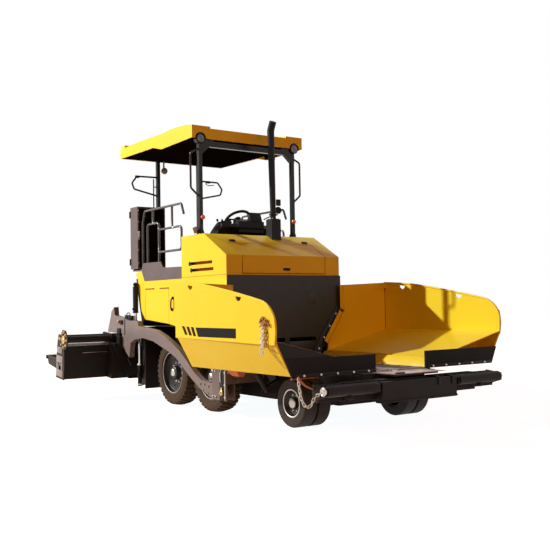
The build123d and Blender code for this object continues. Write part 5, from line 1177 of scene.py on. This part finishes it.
FLAP_FRONT_X = 2.8063
FLAP_BOLT_YS = (0.49, 0.70, 0.92, 1.14, 1.36)
flap_rubber = coated(
    "flap_rubber", (0.0066, 0.0058, 0.0056), (0.0095, 0.0080, 0.0074), 0.6, (0.03, 0.026, 0.024), wear=0.3,
    dust=(0.9, 0.04), dust_and_shade_colour=(0.020, 0.015, 0.013), grain=70.0, bump=0.1, shine=0.12,
)
for side, label in SIDES:
    flap = f"flap_{label}"
    softened(flap, flap_rubber, 0.004)
    clamp_bar = bar((FLAP_FRONT_X, FLAP_FRONT_X + 0.008), (side * 0.40, side * 1.48), (0.634, 0.672), 0.002)
    settle([clamp_bar], f"flap_clamp_bar_{label}", black_paint, flap)
    heads = [bolt((FLAP_FRONT_X + 0.008, side * y, 0.653), (1, 0, 0), 0.010) for y in FLAP_BOLT_YS]
    settle(heads, f"flap_bolts_{label}", zinc_steel, flap)

# Conveyor, apron and push beam. Slats run on chains through the tunnel. Hinged plates cover
# the gap to the push beam, a box section with rollers that truck wheels rest on.

# Apron plates: rear x, front x, right y, left y, and their hinge barrels: x, right y, left y
APRON = (
    (2.46, 2.70, -0.33, -0.06), (2.46, 2.70, -0.05, 0.22), (2.46, 2.70, 0.23, 0.46),
    (2.71, 2.770, -0.33, 0.46), (2.816, 3.03, -0.33, 0.46),
)
APRON_ZS = (0.6115, 0.6175)
APRON_BARRELS = (
    (2.455, -0.30, -0.12), (2.455, 0.0, 0.18), (2.455, 0.28, 0.44), (2.705, -0.28, -0.05),
    (2.705, 0.12, 0.42),
)
ROLLER_AXLE = (3.065, 0.505)
EYE_MIDDLE = Vector((2.860, -1.470, 0.634))
EYE_RADIUS = 0.018

softened("conveyor", worn_steel, 0.003)
softened("push_beam", black_paint, 0.005)
apron_plates = [bar((x0, x1), (y0, y1), APRON_ZS, 0.0015) for x0, x1, y0, y1 in APRON]
bare_plate = coated(
    "scoured_plate_steel", (0.80, 0.76, 0.74), (0.66, 0.62, 0.60), 0.45, (0.75, 0.72, 0.70), wear=0.5,
    dust=(0.2, 0.03), bump=0.06,
)
settle(apron_plates, "apron_plates", bare_plate, "front_frame")
knuckles = [
    lathe((x, 0, 0.619), (0, 1, 0), ((y0, 0.009), (y1, 0.009), (y1 + 0.001, 0.006)), 12)
    for x, y0, y1 in APRON_BARRELS
]
settle(knuckles, "apron_hinges", worn_steel, "front_frame")
pull = bar((2.985, 3.02), (-0.265, -0.150), (0.617, 0.632), 0.004)
settle([pull], "apron_pull_handle", black_plastic, "front_frame")
beam_details = []
for y0, y1 in ((0.26, 0.295), (0.475, 0.51)):
    beam_details.append(bar((2.985, 3.108), (y0, y1), (0.545, 0.572), 0.004, (0, 8, 0)))
    beam_details.append(bar((3.093, 3.112), (y0, y1), (0.475, 0.566), 0.004))
for side, label in SIDES:
    beam_details.append(bar((3.04, 3.09), (side * 0.95, side * 0.99), (0.405, 0.448), 0.006))
beam_details += [
    bar((3.099, 3.104), (-0.560, -0.556), (0.37, 0.545), 0.001),
    bar((3.08, 3.112), (-0.555, 0.565), (0.340, 0.352), 0.003),
    bar((2.993, 3.096), (-0.55, 0.55), (0.549, 0.553), 0.0015),
]
settle(beam_details, "push_beam_hooks", black_paint, "push_beam")
pin_rings = (
    (1.308, 0.046), (1.322, 0.046), (1.328, 0.038), (1.324, 0.030), (1.334, 0.024), (1.335, 0.008),
)
pins = [across(*ROLLER_AXLE, side, pin_rings) for side, label in SIDES]
settle(pins, "push_roller_pins", zinc_steel, "push_beam")
for side, label in SIDES:
    roller = f"push_roller_{label}"
    softened(roller, black_paint, 0.004, 50.0)
    collars = []
    for y in (0.612, 1.262):
        collar = ((y, 0.058), (y + 0.001, 0.0598), (y + 0.014, 0.0598), (y + 0.015, 0.058))
        collars.append(across(*ROLLER_AXLE, side, collar, 32))
    settle(collars, f"push_roller_collars_{label}", worn_steel, roller, 50.0)
eye_rod = bent(
    ((2.905, -1.305, 0.520), (2.890, -1.380, 0.540), (2.868, -1.440, 0.600), (2.862, -1.462, 0.628)), 0.010
)
angles = [step * math.pi / 4 for step in range(8)]
eye_points = [EYE_MIDDLE + Vector((EYE_RADIUS * math.cos(a), 0, EYE_RADIUS * math.sin(a))) for a in angles]
eye_ring = bent(eye_points, 0.005, True)
settle([eye_rod, eye_ring], "beam_chain_eye", rusty_chain, "push_beam", 60.0)
hanging = chain(
    ((2.862, -1.472, 0.618), (2.868, -1.466, 0.540), (2.880, -1.455, 0.440), (2.900, -1.432, 0.372),
     (2.930, -1.405, 0.348), (2.950, -1.378, 0.374), (2.965, -1.362, 0.430), (3.000, -1.345, 0.468),
     (3.040, -1.338, 0.490)), 0.010, 0.036,
)
settle(hanging, "beam_chain", pale_chain, "push_beam", 60.0)

# Tow arms: thick grey plate arms on each side of the rear wheels, bolted through at the
# front, with the lift lugs, a lock handle and cable clips near the screed.

ARM_FACE_Y = 1.0875
# Through bolts: x, z, size
ARM_BOLTS = (
    (0.229, 0.380, 0.013), (0.333, 0.380, 0.013), (0.436, 0.362, 0.013), (0.537, 0.345, 0.013),
    (0.300, 0.300, 0.010), (0.420, 0.270, 0.010), (0.537, 0.262, 0.010),
)
arm_plate = coated(
    "arm_grey_paint", (0.225, 0.180, 0.178), (0.175, 0.138, 0.138), 0.4, (0.42, 0.37, 0.37), wear=0.8,
    dust=(0.8, 0.1), dust_and_shade_colour=(0.21, 0.17, 0.16), shine=0.45,
)
knob_red = coated(
    "lock_knob_red", (0.62, 0.10, 0.045), (0.50, 0.07, 0.030), 0.35, (0.7, 0.3, 0.2), wear=0.3, coat=0.3,
)
softened("tow_arms", arm_plate, 0.005)
for side, label in SIDES:
    heads = [bolt((x, side * ARM_FACE_Y, z), (0, side, 0), size) for x, z, size in ARM_BOLTS]
    settle(heads, f"arm_bolts_{label}", arm_plate, "tow_arms")
    boxes = [
        bar((-2.075, -1.985), (side * 1.010, side * 1.080), (1.190, 1.262), 0.006),
        bar((-1.972, -1.902), (side * 1.015, side * 1.075), (1.192, 1.248), 0.006),
        bar((-1.894, -1.860), (side * 1.020, side * 1.070), (1.186, 1.252), 0.006),
        bar((-2.190, -2.120), (side * ARM_FACE_Y, side * (ARM_FACE_Y + 0.022)), (1.120, 1.185), 0.005),
        bar((-2.055, -2.040), (side * ARM_FACE_Y, side * (ARM_FACE_Y + 0.006)), (0.965, 1.200), 0.002),
    ]
    cable = ((-2.07, 1.262), (-2.02, 1.300), (-1.95, 1.290), (-1.93, 1.248))
    boxes.append(bent([(x, side * 1.05, z) for x, z in cable], 0.007))
    settle(boxes, f"arm_fittings_{label}", black_plastic, "tow_arms")
    knob_rings = ((0.0, 0.012), (0.015, 0.014), (0.018, 0.028), (0.034, 0.030), (0.040, 0.020))
    knob = across(-2.235, 1.160, side, [(ARM_FACE_Y + out, radius) for out, radius in knob_rings])
    settle([knob], f"arm_lock_knob_{label}", knob_red, "tow_arms")

# Screed: black boxes that smooth the mat, the outer ones sliding on polished tubes with
# round end flanges, light end plates and a folded walkway behind.

TILT = 5.4
SCREED_LEAN = (0, TILT, 0)
TOW_POINT = (0.750, 0.305)
SCREED_END_Y = 1.932
SCREED_END_PRESS = 0.018
# Places on the lowered screed, x and z: the flange on the end, the walkway's bolts
FLANGE = (-2.403, 0.614)
FLANGE_BOLTS = 8
FLANGE_RADIUS = 0.110
WALKWAY_BOLTS = ((-3.02, 0.205), (-2.92, 0.190), (-2.80, 0.178), (-2.72, 0.205))
WALKWAY_TREADS = 12
# Light plates round the hand hole, from its middle: rear x, front x, low z, top z
END_PLATES = (
    (-0.122, 0.122, -0.165, -0.062), (-0.122, 0.122, 0.045, 0.150),
    (-0.122, -0.062, -0.062, 0.045), (0.062, 0.122, -0.062, 0.045),
)
end_steel = coated(
    "screed_end_grey", (0.24, 0.205, 0.205), (0.17, 0.14, 0.14), 0.42, (0.42, 0.39, 0.38), wear=0.6,
    dust=(0.6, 0.1), metal=0.2, bump=0.08,
)


def raised(x, z):
    """A place on the lowered screed, (x, z), as it lies when the screed is raised."""
    dx, dz, tilt = x - TOW_POINT[0], z - TOW_POINT[1], math.radians(TILT)
    return (
        TOW_POINT[0] + dx * math.cos(tilt) + dz * math.sin(tilt),
        TOW_POINT[1] - dx * math.sin(tilt) + dz * math.cos(tilt),
    )


def on_end(x, z, side, rings, segments, hollow=False):
    """A turned part on the screed's end, its rings measured out from the end."""
    return across(x, z, side, [(SCREED_END_Y + out, radius) for out, radius in rings], segments, hollow)


softened("screed_main", black_paint, 0.004)
for side, label in SIDES:
    box = f"screed_extension_{label}"
    extension = softened(box, black_paint, 0.004)
    shift(extension, lambda place: abs(place.y) > SCREED_END_Y - 0.004, (0, -side * SCREED_END_PRESS, 0))
    face = side * SCREED_END_Y
    plate_ys = (face, face + side * 0.004)
    heads = []
    for step in range(FLANGE_BOLTS):
        angle = 2 * math.pi * step / FLANGE_BOLTS
        dx, dz = FLANGE_RADIUS * math.cos(angle), FLANGE_RADIUS * math.sin(angle)
        x, z = raised(FLANGE[0] + dx, FLANGE[1] + dz)
        heads.append(bolt((x, face, z), (0, side, 0), 0.017))
    boss = ((-0.002, 0.062), (0.010, 0.062), (0.014, 0.052), (0.014, 0.030), (0.017, 0.026))
    heads.append(on_end(*raised(*FLANGE), side, boss, 28))
    x, z = raised(-2.590, 0.614)
    heads.append(bolt((x, side * (SCREED_END_Y - 0.02), z), (0, side, 0), 0.026))
    settle(heads, f"screed_flange_bolts_{label}", gold_zinc, box)
    x, z = raised(-2.545, 0.210)
    plates = [
        bar((x + x0, x + x1), plate_ys, (z + z0, z + z1), 0.0015, SCREED_LEAN)
        for x0, x1, z0, z1 in END_PLATES
    ]
    collar = ((0.0, 0.064), (0.004, 0.064), (0.006, 0.058), (0.004, 0.046), (0.0, 0.046))
    plates.append(on_end(*raised(-2.522, 0.178), side, collar, 32, True))
    x, z = raised(-2.560, 0.445)
    plates.append(bar((x - 0.11, x + 0.10), plate_ys, (z - 0.045, z + 0.045), 0.0015, SCREED_LEAN))
    settle(plates, f"screed_end_plates_{label}", end_steel, box)
    places = [raised(x, z) for x, z in WALKWAY_BOLTS]
    brackets = [bolt((x, side * (SCREED_END_Y - 0.028), z), (0, side, 0), 0.014) for x, z in places]
    settle(brackets, f"walkway_bolts_{label}", gold_zinc, box)
    x, z = raised(-2.875, 0.198)
    bracket_ys = (side * (SCREED_END_Y - 0.030), side * (SCREED_END_Y - 0.026))
    bracket = bar((x - 0.160, x + 0.160), bracket_ys, (z - 0.030, z + 0.030), 0.0015, SCREED_LEAN)
    settle([bracket], f"walkway_bracket_{label}", end_steel, box)
    cleats, cleat_ys = [], (side * 0.74, side * 1.90)
    for step in range(WALKWAY_TREADS):
        x, z = raised(-3.06 + step * 0.031, 0.2975)
        cleats.append(bar((x, x + 0.008), cleat_ys, (z - 0.002, z + 0.003), 0.001, SCREED_LEAN))
    settle(cleats, f"walkway_treads_{label}", black_paint, box)
    x, z = raised(-2.424, 0.523)
    ledge = [bar((x - 0.014, x + 0.008), (side * 0.72, side * 1.915), (z - 0.010, z + 0.003), 0.002)]
    x, z = raised(-2.4285, 0.405)
    ledge.append(bar((x - 0.004, x + 0.004), (side * 1.20, side * 1.62), (z - 0.004, z + 0.004), 0.0015))
    settle(ledge, f"screed_top_ledge_{label}", worn_steel, box)
    # A strip of worn bare steel along the main screed's taper edge: partly real wear, partly a painted
    # highlight on that edge.
    x, z = raised(-2.245, 0.320)
    taper_ys = (side * 1.030 - 0.004, side * 1.030 + 0.004)
    taper = bar((x + 0.058, x + 0.066), taper_ys, (z - 0.15, z + 0.33), 0.002, (-side * 24.0, 0, 0))
    settle([taper], f"screed_taper_highlight_edge_{label}", worn_steel, "screed_main")

# Augers, limit plates and the height cylinders in front of the screed: worn bare steel
# flights, black plate, and bright plated rods.

HEIGHT_ROD = (-1.79, 0.972)

for side, label in SIDES:
    softened(f"auger_{label}", worn_steel, 0.003)
    foot = (HEIGHT_ROD[0], side * HEIGHT_ROD[1], 0)
    sleeve = lathe(foot, (0, 0, 1), ((0.540, 0.0215), (0.925, 0.0215), (0.926, 0.0205)))
    settle([sleeve], f"height_rod_sleeve_{label}", rod_chrome, "auger_frame", 50.0)
    collars = [
        lathe(foot, (0, 0, 1), ((z, 0.032), (z + 0.004, 0.036), (z + 0.022, 0.036), (z + 0.026, 0.032)))
        for z in (0.215, 0.510)
    ]
    settle(collars, f"height_cylinder_collars_{label}", zinc_steel, "auger_frame", 50.0)
